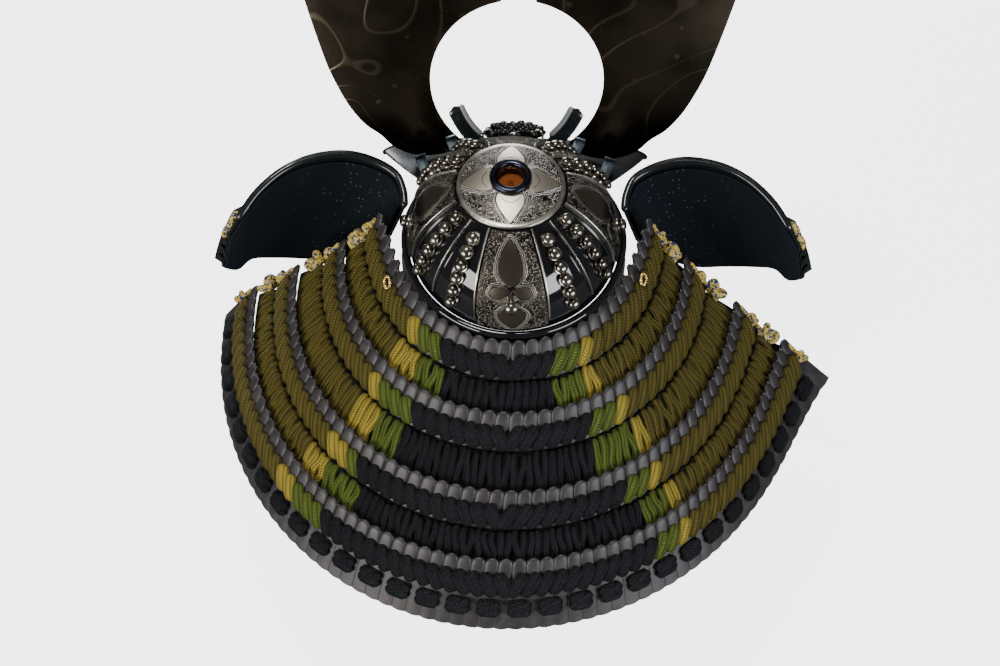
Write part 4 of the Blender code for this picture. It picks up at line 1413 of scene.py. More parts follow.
@dataclass
class Ribs:
    """Twelve standing ribs, the four engraved plates and the rows of rivets between them."""

    form: BowlForm = BOWL
    quarter: tuple[tuple[float, float], ...] = ((22.5, 20.0), (44.0, 49.0), (71.0, 72.5))
    rib_wall: float = 0.0009
    rib_height: float = 0.0020
    rib_foot: float = 0.0042
    plate_wall: float = 0.0007
    plate_foot: float = 0.0026
    rivet_foot: float = 0.0082
    rivet_heads: tuple[float, float] = (0.0238, 0.0228)
    rivet_radius: float = 0.0023
    rivet_height: float = 0.0036
    washer_radius: float = 0.0027
    washer_height: float = 0.0008
    stud_radius: float = 0.0024
    stud_places: dict[str, float] = field(
        default_factory=lambda: {"back": 0.29, "right": 0.19, "front": 0.29, "left": 0.19}
    )
    rivets_in_row: int = 6

    def turns(self) -> list[tuple[float, float]]:
        """The ribs' turns at the crown and at the rim, in order round the bowl."""
        half = [*self.quarter]
        half += [(180.0 - crown, 180.0 - rim) for crown, rim in reversed(self.quarter)]
        return half + [(360.0 - crown, 360.0 - rim) for crown, rim in reversed(half)]

    def build_ribs(self) -> None:
        """Build the ribs as thin tapered fins with rolled upper edges."""
        low = self.form.angle_at_rise(self.rib_foot)
        bm = bmesh.new()
        for crown, rim in self.turns():
            high = self.form.angle_at_radius(self.form.plate_radius + 2.0 * self.form.gap, crown)

            def place(u: float, v: float, w: float, crown=crown, rim=rim, high=high) -> Vector:
                """Point of a rib."""
                up = between(low, high, v)
                taper = 1.0 - 0.82 * (1.0 - v) ** 3
                wall = self.rib_wall * between(1.15, 0.62, w)
                side = self.form.degrees_across(wall * (u - 0.5), up)
                turn = self.form.turn_between(crown, rim, up) + side
                return self.form.point(turn, up, self.form.gap * 0.4 + self.rib_height * taper * w)

            gather(bm, slab(2, 30, place))
        nodes = [f"rib_{number:02d}" for number in range(1, 13)]
        obj = make_piece("standing_ribs", bm, [RIB_METAL], nodes)
        bevelled(obj, 0.00016)

    def leaf(
        self, foot: tuple[float, float], tip: tuple[float, float], half: float, belly: float
    ) -> list[tuple[float, float]]:
        """Outline of a pointed leaf.

        Args:
            foot: Across and up at its foot.
            tip: Across and up at its tip.
            half: Half width at its widest.
            belly: Share of the length where it is widest.

        Returns:
            Points of the closed outline.
        """
        start, end = Vector(foot), Vector(tip)
        axis = end - start
        side = Vector((axis.y, -axis.x)).normalized()
        shape = []
        for step in range(1, 14):
            share = step / 14
            if share < belly:
                width = math.sin(share / belly * math.pi / 2) ** 0.9
            else:
                width = math.cos((share - belly) / (1.0 - belly) * math.pi / 2) ** 0.85
            shape.append((share, half * width))
        right = [start + axis * share + side * width for share, width in shape]
        left = [start + axis * share - side * width for share, width in reversed(shape)]
        return [tuple(point) for point in [start, *right, end, *left]]

    def plate_petals(self, name: str) -> list[list[tuple[float, float]]]:
        """Outlines of one plate's petals, across and up from the rim in metres.

        Args:
            name: Which plate.

        Returns:
            The closed outlines.
        """
        if name in ("back", "front"):
            return [
                self.leaf((0.0, 0.0190), (0.0, 0.0362), 0.0047, 0.33),
                self.leaf((0.0004, 0.0178), (0.0082, 0.0156), 0.0023, 0.66),
                self.leaf((-0.0004, 0.0178), (-0.0082, 0.0156), 0.0023, 0.66),
                self.leaf((0.0, 0.0176), (0.0, 0.0128), 0.0006, 0.5),
                self.leaf((0.0, 0.0004), (0.0, 0.0108), 0.0052, 0.66),
            ]
        return [
            self.leaf((0.0, 0.0140), (0.0, 0.0330), 0.0052, 0.33),
            self.leaf((0.0003, 0.0132), (0.0072, 0.0114), 0.0021, 0.64),
            self.leaf((-0.0003, 0.0132), (-0.0072, 0.0114), 0.0021, 0.64),
            self.leaf((0.0, 0.0006), (0.0, 0.0078), 0.0044, 0.64),
        ]

    def build_plate(self, name: str, middle: float, crown: float, rim: float) -> None:
        """Build one engraved plate with its stud.

        Args:
            name: Which plate.
            middle: Turn of its middle line.
            crown: Half turn at the crown plate.
            rim: Half turn at the rim.
        """
        low = self.form.angle_at_rise(self.plate_foot)
        high = self.form.angle_at_radius(self.form.plate_radius + 2.0 * self.form.gap, middle)
        reach = math.radians(high - low) * (self.form.height + self.form.reach(middle)) / 2
        plan: dict[tuple[int, int, int], tuple[float, float]] = {}

        def place(u: float, v: float, w: float) -> Vector:
            """Point of the plate."""
            up = between(low, high, v)
            half = self.form.turn_between(crown, rim, up)
            half -= self.form.degrees_across(self.rib_wall / 2 + self.form.gap, up)
            turn = middle + half * (1.0 - 2.0 * u)
            point = self.form.point(turn, up, self.form.gap + self.plate_wall * w)
            radius = self.form.reach(middle) * math.cos(math.radians(up))
            across = math.radians(half * (1.0 - 2.0 * u)) * radius
            key = tuple(round(value * 1e6) for value in point)
            plan[key] = (across, v * reach)
            return point

        obj = make_piece(
            f"engraved_plate_{name}",
            slab(60, 96, place),
            [DOME_ENGRAVED],
            [f"plate_{name}"],
        )
        spots = [plan[tuple(round(value * 1e6) for value in vert.co)] for vert in obj.data.vertices]
        mark_distance(obj, spots, self.plate_petals(name))
        stud = self.button(self.stud_radius, self.rivet_height * 0.9, self.stud_radius * 1.1, 24)
        up = between(low, high, self.stud_places[name])
        foot = self.form.point(middle, up, self.form.gap + self.plate_wall)
        stud.transform(facing(foot, self.form.normal(middle, up)))
        make_piece(f"plate_stud_{name}", stud, [DARK_POLISH])

    def button(self, radius: float, height: float, washer: float, steps: int) -> BMesh:
        """Round rivet head on its washer, standing on the XY plane.

        Args:
            radius: Radius of the head.
            height: Height of the head.
            washer: Radius of the washer.
            steps: Faces round it.

        Returns:
            The rivet's mesh.
        """
        low = self.washer_height
        middle = low + (height - low) * 0.42
        profile = [
            (washer, -0.0004),
            (washer, low * 0.55),
            (washer * 0.94, low * 0.9),
            (washer * 0.84, low),
            (radius * 0.74, low * 1.02),
        ]
        for step in range(10):
            turn = between(-0.62, 1.0, step / 9) * math.pi / 2
            rise = height - middle if turn > 0.0 else (middle - low)
            profile.append((max(0.0, radius * math.cos(turn)), middle + rise * math.sin(turn)))
        return spun(profile, steps)

    def build_rivets(self) -> None:
        """Build the eight rows of rivets."""
        low = self.form.angle_at_rise(self.rivet_foot)
        turns = self.turns()
        panels = [(0, 1, 0), (1, 2, 1), (3, 4, 1), (4, 5, 0)]
        panels += [(first + 6, second + 6, kind) for first, second, kind in panels]
        for number, (first, second, kind) in enumerate(panels, start=1):
            crown = (turns[first][0] + turns[second][0]) / 2
            rim = (turns[first][1] + turns[second][1]) / 2
            high = self.form.angle_at_radius(self.rivet_heads[kind])
            bm = bmesh.new()
            for index in range(self.rivets_in_row):
                up = between(low, high, index / (self.rivets_in_row - 1))
                turn = self.form.turn_between(crown, rim, up)
                head = self.button(self.rivet_radius, self.rivet_height, self.washer_radius, 24)
                foot = self.form.point(turn, up, self.form.gap)
                head.transform(facing(foot, self.form.normal(turn, up)))
                gather(bm, head)
            make_piece(f"rivet_row_{number}", bm, [DARK_POLISH], [f"rivets_{number}"])

    def build_curls(self) -> None:
        """Build the small curled upper ends of the two front ribs."""
        bm = bmesh.new()
        for side in Side:
            turn = 180.0 - side.value * 21.0
            foot = self.form.point(turn, 40.0, 0.0016)
            line = []
            for step in range(15):
                angle = math.radians(between(-20.0, 215.0, step / 14))
                line.append(foot + Vector((
                    -side.value * 0.0017 * (1.0 - math.cos(angle)),
                    -0.0006 * step / 14,
                    0.0008 + 0.0021 * math.sin(max(angle, 0.0)) + 0.0022 * min(step / 5, 1.0),
                )))
            ring_tube([foot, *line], 0.00042).add_to(bm, 10)
        make_piece("front_rib_curls", bm, [RIB_METAL])

    def build(self) -> None:
        """Build the ribs, plates and rivets."""
        self.build_ribs()
        self.build_curls()
        back, side = self.quarter[0], self.quarter[-1]
        across = (90.0 - side[0], 90.0 - side[1])
        self.build_plate("back", 0.0, *back)
        self.build_plate("right", 90.0, *across)
        self.build_plate("front", 180.0, *back)
        self.build_plate("left", 270.0, *across)
        self.build_rivets()


# ---------------------------------------------------------------- visor, horns, crest


@dataclass
class Visor:
    """Lacquered visor with a rolled edge, and the satin steel straps on its root."""

    root_turn: float = 53.0
    half_width: float = 0.0517
    reach: float = 0.0215
    corner_back: float = 0.0077
    drop: float = 0.0195
    wall: float = 0.0012
    seat_gap: float = 0.0003
    strap_turns: tuple[float, float] = (29.8, 50.0)
    strap_spread: float = 21.5
    strap_length: float = 0.0103
    strap_width: float = 0.0043
    strap_wall: float = 0.0008

    def surface(self, side: float, reach: float) -> Vector:
        """Point of the visor's middle face."""
        root = math.radians(180.0 - self.root_turn * side)
        width, depth = NECK.ring_width + self.seat_gap, NECK.ring_front + self.seat_gap
        inner = Vector((width * math.sin(root), depth * math.cos(root), 0.0))
        spread = math.radians(90.0 * side)
        corner = NECK.ring_front + self.reach - self.corner_back
        outer = Vector((
            self.half_width * math.sin(spread),
            -corner - self.corner_back * math.cos(spread),
            -self.drop,
        ))
        point = inner.lerp(outer, reach)
        point.z = -self.drop * (1.15 * reach - 0.15 * reach * abs(reach))
        return point

    def height(self, x: float, y: float) -> float:
        """Height of the visor's middle face at a place in plan."""
        steps = 24
        grid = (
            self.surface(side / steps, reach / steps)
            for side in range(-steps, steps + 1)
            for reach in range(steps + 1)
        )
        return min(grid, key=lambda point: (point.x - x) ** 2 + (point.y - y) ** 2).z

    def build_brim(self) -> None:
        """Build the brim with its rolled edge."""

        def place(u: float, v: float, w: float) -> Vector:
            """Point of the brim."""
            return lifted(self.surface, 2.0 * u - 1.0, v, self.wall * (w - 0.5))

        bm = slab(72, 14, place)
        edge = [self.surface(2.0 * step / 60 - 1.0, 0.985) for step in range(61)]
        rim = bmesh.new()
        ring_tube(edge, 0.0010).add_to(rim, 12)
        gather(bm, rim)
        obj = make_piece("visor_brim", bm, [BLACK_GLOSS], ["visor"])
        bevelled(obj, 0.0002)

    def build_straps(self) -> None:
        """Build the four straps, each folded up at its far end."""
        number = 0
        spread = math.radians(self.strap_spread)
        rise = self.wall / 2 + self.seat_gap
        for side in (-1.0, 1.0):
            across = Vector((math.cos(spread), side * math.sin(spread), 0.0))
            ahead = Vector((side * math.sin(spread), -math.cos(spread), 0.0))
            for turn in self.strap_turns:
                number += 1
                root = self.surface(side * turn / self.root_turn, 0.0)
                root.z = rise

                def place(
                    u: float, v: float, w: float, root=root, across=across, ahead=ahead
                ) -> Vector:
                    """Point of a strap."""
                    fold = max(0.0, (v - 0.80) / 0.20)
                    reach = between(0.02, 0.93, min(v, 0.80) / 0.80)
                    curl = 0.0030 * math.sin(fold * math.pi / 2)
                    reach += 0.06 * math.sin(min(fold * 2.0, 1.0) * math.pi / 2)
                    crown = 0.00030 * math.sin(math.pi * u) * w
                    thick = self.strap_wall * w
                    point = root + across * (self.strap_width * 0.97 * (0.5 - u))
                    point += ahead * (self.strap_length * reach - thick * fold)
                    point.z += thick * (1.0 - fold) + crown + curl
                    return point

                obj = make_piece(
                    f"steel_strap_{number}",
                    slab(6, 24, place),
                    [STRAP_STEEL],
                    [f"visor_strap_{number}"],
                    50.0,
                )
                bevelled(obj, 0.00015)

    def build(self) -> None:
        """Build the visor's pieces."""
        self.build_brim()
        self.build_straps()


@dataclass
class Horns:
    """Two bronze blades, their holder with its prongs, and the crest's mane in front."""

    visor: Visor = field(default_factory=Visor)
    forward: float = 0.0470
    lean: float = 25.0
    wall: float = 0.0010
    length: float = 0.1340
    gap_radius: float = 0.0330
    gap_rise: float = 0.0242
    gap_mouth: float = 0.0065
    tip_inner: float = 0.0430
    tip_outer: float = 0.1010
    tip_notch: float = 0.0130
    root: float = 0.0200
    outer_edge: tuple[tuple[float, float], ...] = (
        (0.225, -0.038),
        (0.290, -0.057),
        (0.380, -0.060),
        (0.460, -0.037),
        (0.515, 0.002),
        (0.575, 0.036),
        (0.635, 0.094),
        (0.690, 0.175),
        (0.730, 0.255),
        (0.800, 0.435),
        (0.880, 0.680),
        (1.0, 0.9515),
    )
    holder_wall: float = 0.0016
    holder_half: float = 0.0255
    holder_band: float = 0.0045
    prong_foot: float = 0.0155
    prong_tip: float = 0.0240
    prong_length: float = 0.0131
    prong_width: float = 0.0052
    crest_half: float = 0.0125
    crest_top: float = 0.0041
    boss: float = 0.0042

    def seat(self) -> float:
        """Rise in the blades' plane at which their lower edge clears the visor."""
        lean = math.radians(self.lean)
        room = self.visor.wall / 2 + self.wall + self.visor.seat_gap
        needed = []
        for out, up in self.outer_edge[:4]:
            rise = self.length * up
            y = -self.forward - rise * math.sin(lean)
            needed.append(
                (self.visor.height(self.tip_outer * out, y) + room) / math.cos(lean) - rise
            )
        return max(needed)

    def outline(self) -> list[tuple[float, float]]:
        """Outline of the blade on the +X side, in its own plane."""
        seat = self.seat()
        mouth = math.degrees(math.asin(self.gap_mouth / self.gap_radius))
        root = math.degrees(math.asin(self.root / self.gap_radius))
        gap = []
        for step in range(61):
            turn = math.radians(between(180.0 - root, mouth, step / 60))
            gap.append((
                self.gap_radius * math.sin(turn),
                self.gap_rise + self.gap_radius * math.cos(turn),
            ))
        neck = (self.gap_mouth, self.gap_rise + self.gap_radius * 1.12)
        inner = [
            (
                between(neck[0], self.tip_inner, (step / 16) ** 1.4),
                between(neck[1], self.length, step / 16),
            )
            for step in range(16)
        ]
        tip = [
            {"x": self.tip_inner, "y": self.length},
            {"x": between(self.tip_inner, self.tip_outer, 0.25), "y": self.length - 0.0078},
            {"x": between(self.tip_inner, self.tip_outer, 0.50), "y": self.length - 0.0130},
            {"x": between(self.tip_inner, self.tip_outer, 0.75), "y": self.length - 0.0130},
            {"x": self.tip_outer, "y": self.length - self.tip_notch / 2},
        ]
        top = [tuple(smooth_row(tip, step / 24).values()) for step in range(24)]
        edge_rows = [{"x": out, "y": up} for out, up in self.outer_edge]
        outer = []
        for step in range(81):
            row = smooth_row(edge_rows, 1.0 - step / 80)
            outer.append((self.tip_outer * row["x"], self.length * row["y"]))
        return [(x, y + seat) for x, y in gap + inner + top + outer]

    def stand(self, bm: BMesh, behind: float) -> None:
        """Stand a flat shape in the blades' plane, moved back from it by a distance."""
        lean = math.radians(self.lean)
        turn = Matrix.Rotation(math.radians(90.0 + self.lean), 4, "X")
        place = Vector((0.0, -self.forward + behind * math.cos(lean), behind * math.sin(lean)))
        bm.transform(Matrix.Translation(place) @ turn)

    def flat(self, outline: Outline, wall: float) -> BMesh:
        """Flat plate from an outline, with its edges rounded.

        Args:
            outline: Closed outline in its own plane.
            wall: Thickness.

        Returns:
            The plate, centred on its plane.
        """
        bm = bmesh.new()
        corners = [bm.verts.new((x, y, -wall / 2)) for x, y in outline]
        bm.faces.new(corners)
        bmesh.ops.remove_doubles(bm, verts=bm.verts, dist=2e-5)
        thicken(bm, wall)
        rim = [edge for edge in bm.edges if edge.verts[0].co.z == edge.verts[1].co.z]
        bmesh.ops.bevel(
            bm,
            geom=rim,
            offset=wall * 0.22,
            offset_type="OFFSET",
            segments=3,
            profile=0.5,
            affect="EDGES",
            material=-1,
        )
        bmesh.ops.triangulate(bm, faces=[face for face in bm.faces if len(face.verts) > 4])
        return bm

    def build_blades(self) -> None:
        """Build the two blades."""
        outline = self.outline()
        for side in Side:
            bm = self.flat([(side.value * x, y) for x, y in outline], self.wall)
            self.stand(bm, 0.0)
            name = side.name.lower()
            make_piece(
                f"horn_blade_{name}", bm, [HORN_BRONZE], [f"horn_{name}"], 30.0
            )

    def holder_seat(self, x: float) -> float:
        """Rise in the blades' plane at which the holder's lower edge clears the visor."""
        lean = math.radians(self.lean)
        near = self.wall / 2 + self.visor.seat_gap
        rise = 0.0
        for _ in range(3):
            needed = []
            for behind in (near, near + self.holder_wall):
                y = -self.forward + behind * math.cos(lean) - rise * math.sin(lean)
                height = self.visor.height(x, y) + self.visor.wall + 2.0 * self.visor.seat_gap
                needed.append((height - behind * math.sin(lean)) / math.cos(lean))
            rise = max(needed)
        return rise

    def build_holder(self) -> None:
        """Build the holder and its two thick open prongs, with a grey strip along each prong's
        inner side as a painted reflection.
        """
        lower = [
            (self.holder_half * step / 12, self.holder_seat(self.holder_half * step / 12))
            for step in range(13)
        ]
        rise = lower[0][1]
        end_rise = lower[-1][1] + self.holder_band * 0.6
        middle_rise = rise + self.holder_band * 0.7
        upper = [
            (self.holder_half * (1.0 - share), between(end_rise, middle_rise, share**0.6))
            for share in (step / 12 for step in range(13))
        ]
        right = lower[1:] + upper[:-1]
        shape = [lower[0], *right, upper[-1], *[(-x, y) for x, y in reversed(right)]]
        bm = self.flat(shape, self.holder_wall)
        # lining: the grey strips along the prongs' inner sides, a painted reflection of their
        # polished faces
        lining = bmesh.new()
        up = Vector((0.0, 0.0, 1.0))
        for side in Side:
            foot = Vector((side.value * self.prong_foot, rise + self.holder_band * 0.8))
            end = foot + Vector((
                side.value * (self.prong_tip - self.prong_foot),
                self.prong_length,
            ))
            axis = (end - foot).normalized()
            start = foot - axis * 0.0035
            aside = Vector((axis.y, -axis.x)) * side.value
            for target, shift, half, low, high in (
                (bm, 0.0, 0.0030, 0.0, 1.0),
                (lining, -0.0029, 0.0010, 0.16, 0.97),
            ):
                prong = Strand(square=0.6)
                for step in range(15):
                    share = step / 14
                    spot = start.lerp(end, between(low, high, share)) + aside * shift
                    spot += aside * (0.0010 * math.sin(math.pi * share))
                    width = half * end_round(share, 0.14) ** 0.6
                    height = min(width * 1.4, self.holder_wall * 0.52)
                    prong.station(spot.to_3d(), aside.to_3d(), up, width, height)
                prong.add_to(target, 20)
        # the painted reflection strips take the grey finish
        gather(bm, lining, 1)
        self.stand(bm, self.wall / 2 + self.visor.seat_gap + self.holder_wall / 2)
        finishes = [BLACK_GLOSS, PRONG_PAINTED_REFLECTION]
        make_piece("horn_holder_lacquer", bm, finishes, ["horn_holder"], 50.0)

    def crest_seat(self, ahead: float) -> float:
        """Height of the crest boss's middle at which it clears the sloping visor."""
        needed = []
        for step in range(-10, 11):
            share = step / 10
            height = self.visor.height(0.0, -ahead + self.boss * share)
            needed.append(height + self.boss * math.sqrt(1.0 - share**2))
        return max(needed) + self.visor.wall + self.visor.seat_gap

    def build_mane(self) -> None:
        """Build the crest's mane as a fan of ridged locks on a round boss."""
        lean = math.radians(self.lean)
        ahead = self.forward + (self.wall / 2 + self.visor.seat_gap + self.boss) / math.cos(lean)
        middle = Vector((0.0, -ahead, self.crest_seat(ahead)))
        bm = bmesh.new()
        boss = bmesh.new()
        bmesh.ops.create_uvsphere(boss, u_segments=28, v_segments=16, radius=self.boss)
        bmesh.ops.scale(boss, vec=(1.5, 0.95, 1.0), verts=boss.verts)
        boss.transform(Matrix.Translation(middle))
        gather(bm, boss)
        dice = random.Random(5)
        for layer, (count, reach, shift) in enumerate(((19, 1.0, 0.0), (17, 0.84, 0.0016))):
            for index in range(count):
                turn = math.pi * (index + 0.5 * layer) / (count - 1 + layer)
                swell = dice.uniform(0.90, 1.04) * reach
                tip = Vector((
                    self.crest_half * swell * math.cos(turn),
                    shift + 0.0006 * math.sin(3.0 * index),
                    (self.crest_top - middle.z) * swell * math.sin(turn) ** 0.8,
                ))
                rows = 17
                lock = Strand()
                direction = tip.normalized()
                side = direction.cross(Vector((0.0, 1.0, 0.0))).normalized()
                curl = dice.uniform(-1.0, 1.0) * 0.0007
                for step in range(rows):
                    share = step / (rows - 1)
                    bend = side * (curl * math.sin(math.pi * share * 1.5))
                    point = middle + tip * between(0.15, 1.0, share) + bend
                    ridge = 1.0 + 0.05 * math.sin(share * 26.0 + index)
                    cap = end_round(between(0.2, 1.0, share), 0.25)
                    half = 0.0016 * ridge * cap if 0 < step < rows - 1 else 0.0
                    lock.station(point, side, direction.cross(side), half, half)
                lock.add_to(bm, 10)
        make_piece("crest_mane", bm, [BLACK_GLOSS], ["crest"])

    def build(self) -> None:
        """Build the horns, the holder and the crest."""
        self.build_blades()
        self.build_holder()
        self.build_mane()


# ---------------------------------------------------------------- neck guard


@dataclass(frozen=True)
class DyePlan:
    """Where a band's colours change, as shares from its middle to each end."""

    right: tuple[float, float, float]
    left: tuple[float, float, float]

    def dye(self, side: float) -> Dye:
        """Colour of the cord at a place between the ends."""
        stops = self.right if side > 0.0 else self.left
        for dye, stop in zip((Dye.BLACK, Dye.GREEN, Dye.YELLOW), stops):
            if abs(side) < stop:
                return dye
        return Dye.OLIVE


@dataclass
class NeckGuard:
    """Four lames of lacquered scales, laced with narrow and wide bands of braided cord."""

    form: NeckForm = NECK
    scale_pitch: float = 0.00530
    turn_slide: float = 1.1
    turn_lean: float = 0.58
    knot_pitch: float = 0.0120
    knot_length: float = 0.0092
    knot_width: float = 0.0072
    knot_wall: float = 0.0020
    knot_drop: float = 0.0195
    narrow_plans: tuple[DyePlan, ...] = (
        DyePlan((0.30, 0.44, 0.53), (0.16, 0.295, 0.36)),
        DyePlan((0.325, 0.425, 0.51), (0.28, 0.385, 0.45)),
        DyePlan((0.355, 0.425, 0.48), (0.36, 0.435, 0.48)),
        DyePlan((0.40, 0.465, 0.525), (0.41, 0.47, 0.51)),
    )
    wide_plans: tuple[DyePlan, ...] = (
        DyePlan((0.26, 0.375, 0.505), (0.21, 0.34, 0.405)),
        DyePlan((0.295, 0.40, 0.495), (0.31, 0.42, 0.485)),
        DyePlan((0.335, 0.44, 0.505), (0.425, 0.465, 0.525)),
    )
    dice: random.Random = field(default_factory=lambda: random.Random(11))

    def scale_count(self, lame: int) -> int:
        """Number of scales in a lame."""
        return round(self.form.arc(lame, self.form.head_length / 2) / self.scale_pitch)

    def build_lame(self, lame: int) -> None:
        """Build a lame's plate and its row of rounded scale heads."""
        form, count = self.form, self.scale_count(lame)
        start = form.start(lame)
        last = lame == len(form.starts) - 1
        length = form.slant - start if last else form.lame_length
        top = 0.0011

        def place(u: float, v: float, w: float) -> Vector:
            """Point of the lame's plate."""
            along = between(top, length, v)
            lane = abs(math.sin(math.pi * u * count))
            scallop = 0.00045 * (lane - 1.0) * v**8
            ridge = 0.00012 * lane * w
            lift = form.lame_lift(along) + form.wall * (w - 0.5) + ridge
            return form.point(2.0 * u - 1.0, start + along + scallop, lift)

        bm = slab(count * 4, 8, place, uv_scale=(float(count), 1.0))
        for index in range(count):
            side = 2.0 * (index + 0.5) / count - 1.0
            scale = Strand(square=0.72)
            for share in (0.0, 0.03, 0.10, 0.20, 0.34, 0.55, 0.80, 1.0):
                along = between(-0.0003, form.head_length + 0.0012, share)
                lift = form.lame_lift(along) + form.wall / 2 - 0.0002
                here, sideways, _, outward = form.frame_at(side, start + along, lift)
                rounded = math.sqrt(max(0.0, 1.0 - (1.0 - min(share / 0.36, 1.0)) ** 2))
                half, height = self.scale_pitch * 0.515 * rounded, 0.0012 * rounded**0.8
                scale.station(here, sideways, outward, half, height * (1.0 - 0.25 * share))
            scale.half_width[-1] *= 0.9
            scale.add_to(bm, 16)
        cap_open_ends(bm, WELD)
        make_piece(f"scales_{lame + 1}", bm, [SCALES], [f"lame_{lame + 1}"], 50.0)

    def build_narrow(self, lame: int) -> None:
        """Build a narrow band as a row of thick slanted cord turns."""
        form, count = self.form, self.scale_count(lame)
        start, plan = form.start(lame), self.narrow_plans[lame]
        pitch = 2.0 / count
        face = form.wall / 2 + form.gap
        top, bottom = form.head_length - 0.0004, form.head_length + form.narrow_width + 0.0006
        bm = bmesh.new()
        for index in range(count):
            side = -1.0 + pitch * (index + 0.5)
            sense = 1.0 if form.point(side, start, 0.0).x < 0.0 else -1.0
            lead, swell = self.dice.uniform(-0.06, 0.06), self.dice.uniform(0.95, 1.06)
            rise = self.dice.uniform(-0.00015, 0.00015)
            cord = Strand(square=0.9)
            for share in CORD_STATIONS:
                along = between(bottom, top, share)
                slide = side + sense * pitch * (self.turn_slide + lead) * (0.5 - share)
                slide = min(max(slide, -1.0), 1.0)
                bow = math.sin(math.pi * share)
                lift = form.lame_lift(along) + face + form.narrow_wall * (0.26 + 0.30 * bow) + rise
                here, sideways, down, outward = form.frame_at(
                    slide, start + along, lift, form.margin
                )
                across = sideways * math.cos(self.turn_lean)
                across -= down * (sense * math.sin(self.turn_lean))
                cap = end_round(share, 0.20) ** 0.8
                half = self.scale_pitch * 0.51 * swell * cap
                cord.station(here, across, outward, half, form.narrow_wall * 0.55 * cap)
            cord.add_to(bm, 18, plan.dye(side).value)
        cords, node = cord_finishes("twisted_cord", 8.0), f"narrow_band_{lame + 1}"
        make_piece(f"twisted_band_{lame + 1}", bm, cords, [node], CORD_SHARP)

    def build_wide(self, lame: int) -> None:
        """Build a wide band as pairs of cords that spread from their holes, over a black strip of
        painted shade.
        """
        form, count = self.form, self.scale_count(lame)
        start, plan = form.start(lame), self.wide_plans[lame]
        reach = form.start(lame + 1) - start
        head = form.head_length + form.narrow_width + 3.0 * form.gap + 0.0004
        tail = reach + form.wide_tuck
        face = form.wall / 2 + form.gap
        top = form.lame_lift(head) + face
        bottom = form.lame_lift(tail - reach) - face - form.wide_wall
        pitch = 2.0 / count

        def painted_shade_backing(u: float, v: float, w: float) -> Vector:
            """Point of the black strip behind the cords: it closes the gaps, and its black is
            painted shade between the cords and under the next lame's heads.
            """
            along = between(head, tail + 0.0040, v)
            beyond = max(0.0, along - tail)
            lift = between(top, bottom, min((along - head) / (tail - head), 1.0))
            lift += form.wide_wall * 0.2 * w - form.tilt * 1.1 * beyond
            return form.point(2.0 * u - 1.0, start + along, lift, form.margin * (1.0 - v))

        # the strip takes the black cord finish, as painted shade
        bm = slab(60, 6, painted_shade_backing)
        for index in range(2 * count):
            pair = index // 2
            within = -0.25 if index % 2 == 0 else 0.25
            drift, swell = self.dice.uniform(-0.16, 0.16), self.dice.uniform(0.94, 1.10)
            rise, tilt = self.dice.uniform(-0.0003, 0.0003), self.dice.uniform(-0.35, 0.35)
            back, bend = self.dice.uniform(-0.0006, 0.0005), self.dice.uniform(-0.16, 0.16)
            cord = Strand()
            for share in CORD_STATIONS:
                along = between(head + back, tail, share)
                spread = 0.80 + 0.22 * math.sin(math.pi * min(share * 0.9 + 0.1, 1.0))
                side = -1.0 + pitch * (pair + 0.5 + within * spread)
                side += pitch * (0.16 + drift) * (0.5 - share)
                side += pitch * bend * math.sin(math.tau * share)
                bow = math.sin(math.pi * min(share * 1.25, 1.0)) ** 0.7
                lift = between(top, bottom, share) + form.wide_wall * (0.34 + 0.20 * bow)
                lift += rise * bow
                here, sideways, _, outward = form.frame_at(side, start + along, lift, form.margin)
                across = sideways * math.cos(tilt) + outward * math.sin(tilt)
                out = outward * math.cos(tilt) - sideways * math.sin(tilt)
                cap = end_round(share, 0.16) if share < 0.5 or share == 1.0 else 1.0
                half = form.arc_share(lame, along) * pitch * 0.262 * swell * cap
                cord.station(here, across, out, half, form.wide_wall * 0.52 * cap**0.7)
            middle = -1.0 + pitch * (pair + 0.5)
            cord.add_to(bm, 14, plan.dye(middle).value)
        cords, node = cord_finishes("lacing_cord", 6.0), f"wide_band_{lame + 1}"
        make_piece(f"lacing_band_{lame + 1}", bm, cords, [node], CORD_SHARP)

    def build_cross_knots(self) -> None:
        """Build the woven knots on the lowest lame, each of two cords that cross."""
        form = self.form
        start = form.start(len(form.starts) - 1)
        share = (start + self.knot_drop) / form.slant
        mean = (form.width_at(share) + form.depth_at(share)) / 2
        arc = math.pi * mean - 2.0 * form.margin
        count = int(arc / self.knot_pitch)
        line = form.arc(len(form.starts) - 1, self.knot_drop, form.margin)
        bm = bmesh.new()
        for index in range(count):
            middle = 2.0 * (index + 0.5) / count - 1.0
            for lean, reach, thick in ((0.0, 0.94, 0.40), (-1.0, 1.0, 0.20), (1.0, 1.0, 0.20)):
                cord = Strand(square=0.8)
                for share in CORD_STATIONS:
                    run = 2.0 * share - 1.0
                    side = middle + run * (self.knot_length * reach) / line
                    along = self.knot_drop + run * lean * self.knot_width * 0.27
                    over = (0.0004 if lean > 0.0 else 0.0001) * abs(lean)
                    lift = form.lame_lift(along) + form.wall / 2 + form.gap + 0.0007 + over
                    here, sideways, down, outward = form.frame_at(
                        side, start + along, lift, form.margin
                    )
                    across = (down - sideways * lean * 0.42).normalized()
                    cap = end_round(share, 0.20) ** 0.8
                    half = self.knot_width * thick * 1.2 * cap
                    cord.station(here, across, outward, half, 0.0012 * cap)
                cord.add_to(bm, 16)
        black = Cord("cross_knot_cord", *CORD_COLORS[Dye.BLACK], 6.0, 0.62)
        make_piece("woven_knots", bm, [black], ["cross_knots"], CORD_SHARP)

    def build(self) -> None:
        """Build the neck guard's pieces."""
        for lame in range(len(self.form.starts)):
            self.build_lame(lame)
            self.build_narrow(lame)
        for lame in range(len(self.form.starts) - 1):
            self.build_wide(lame)
        self.build_cross_knots()


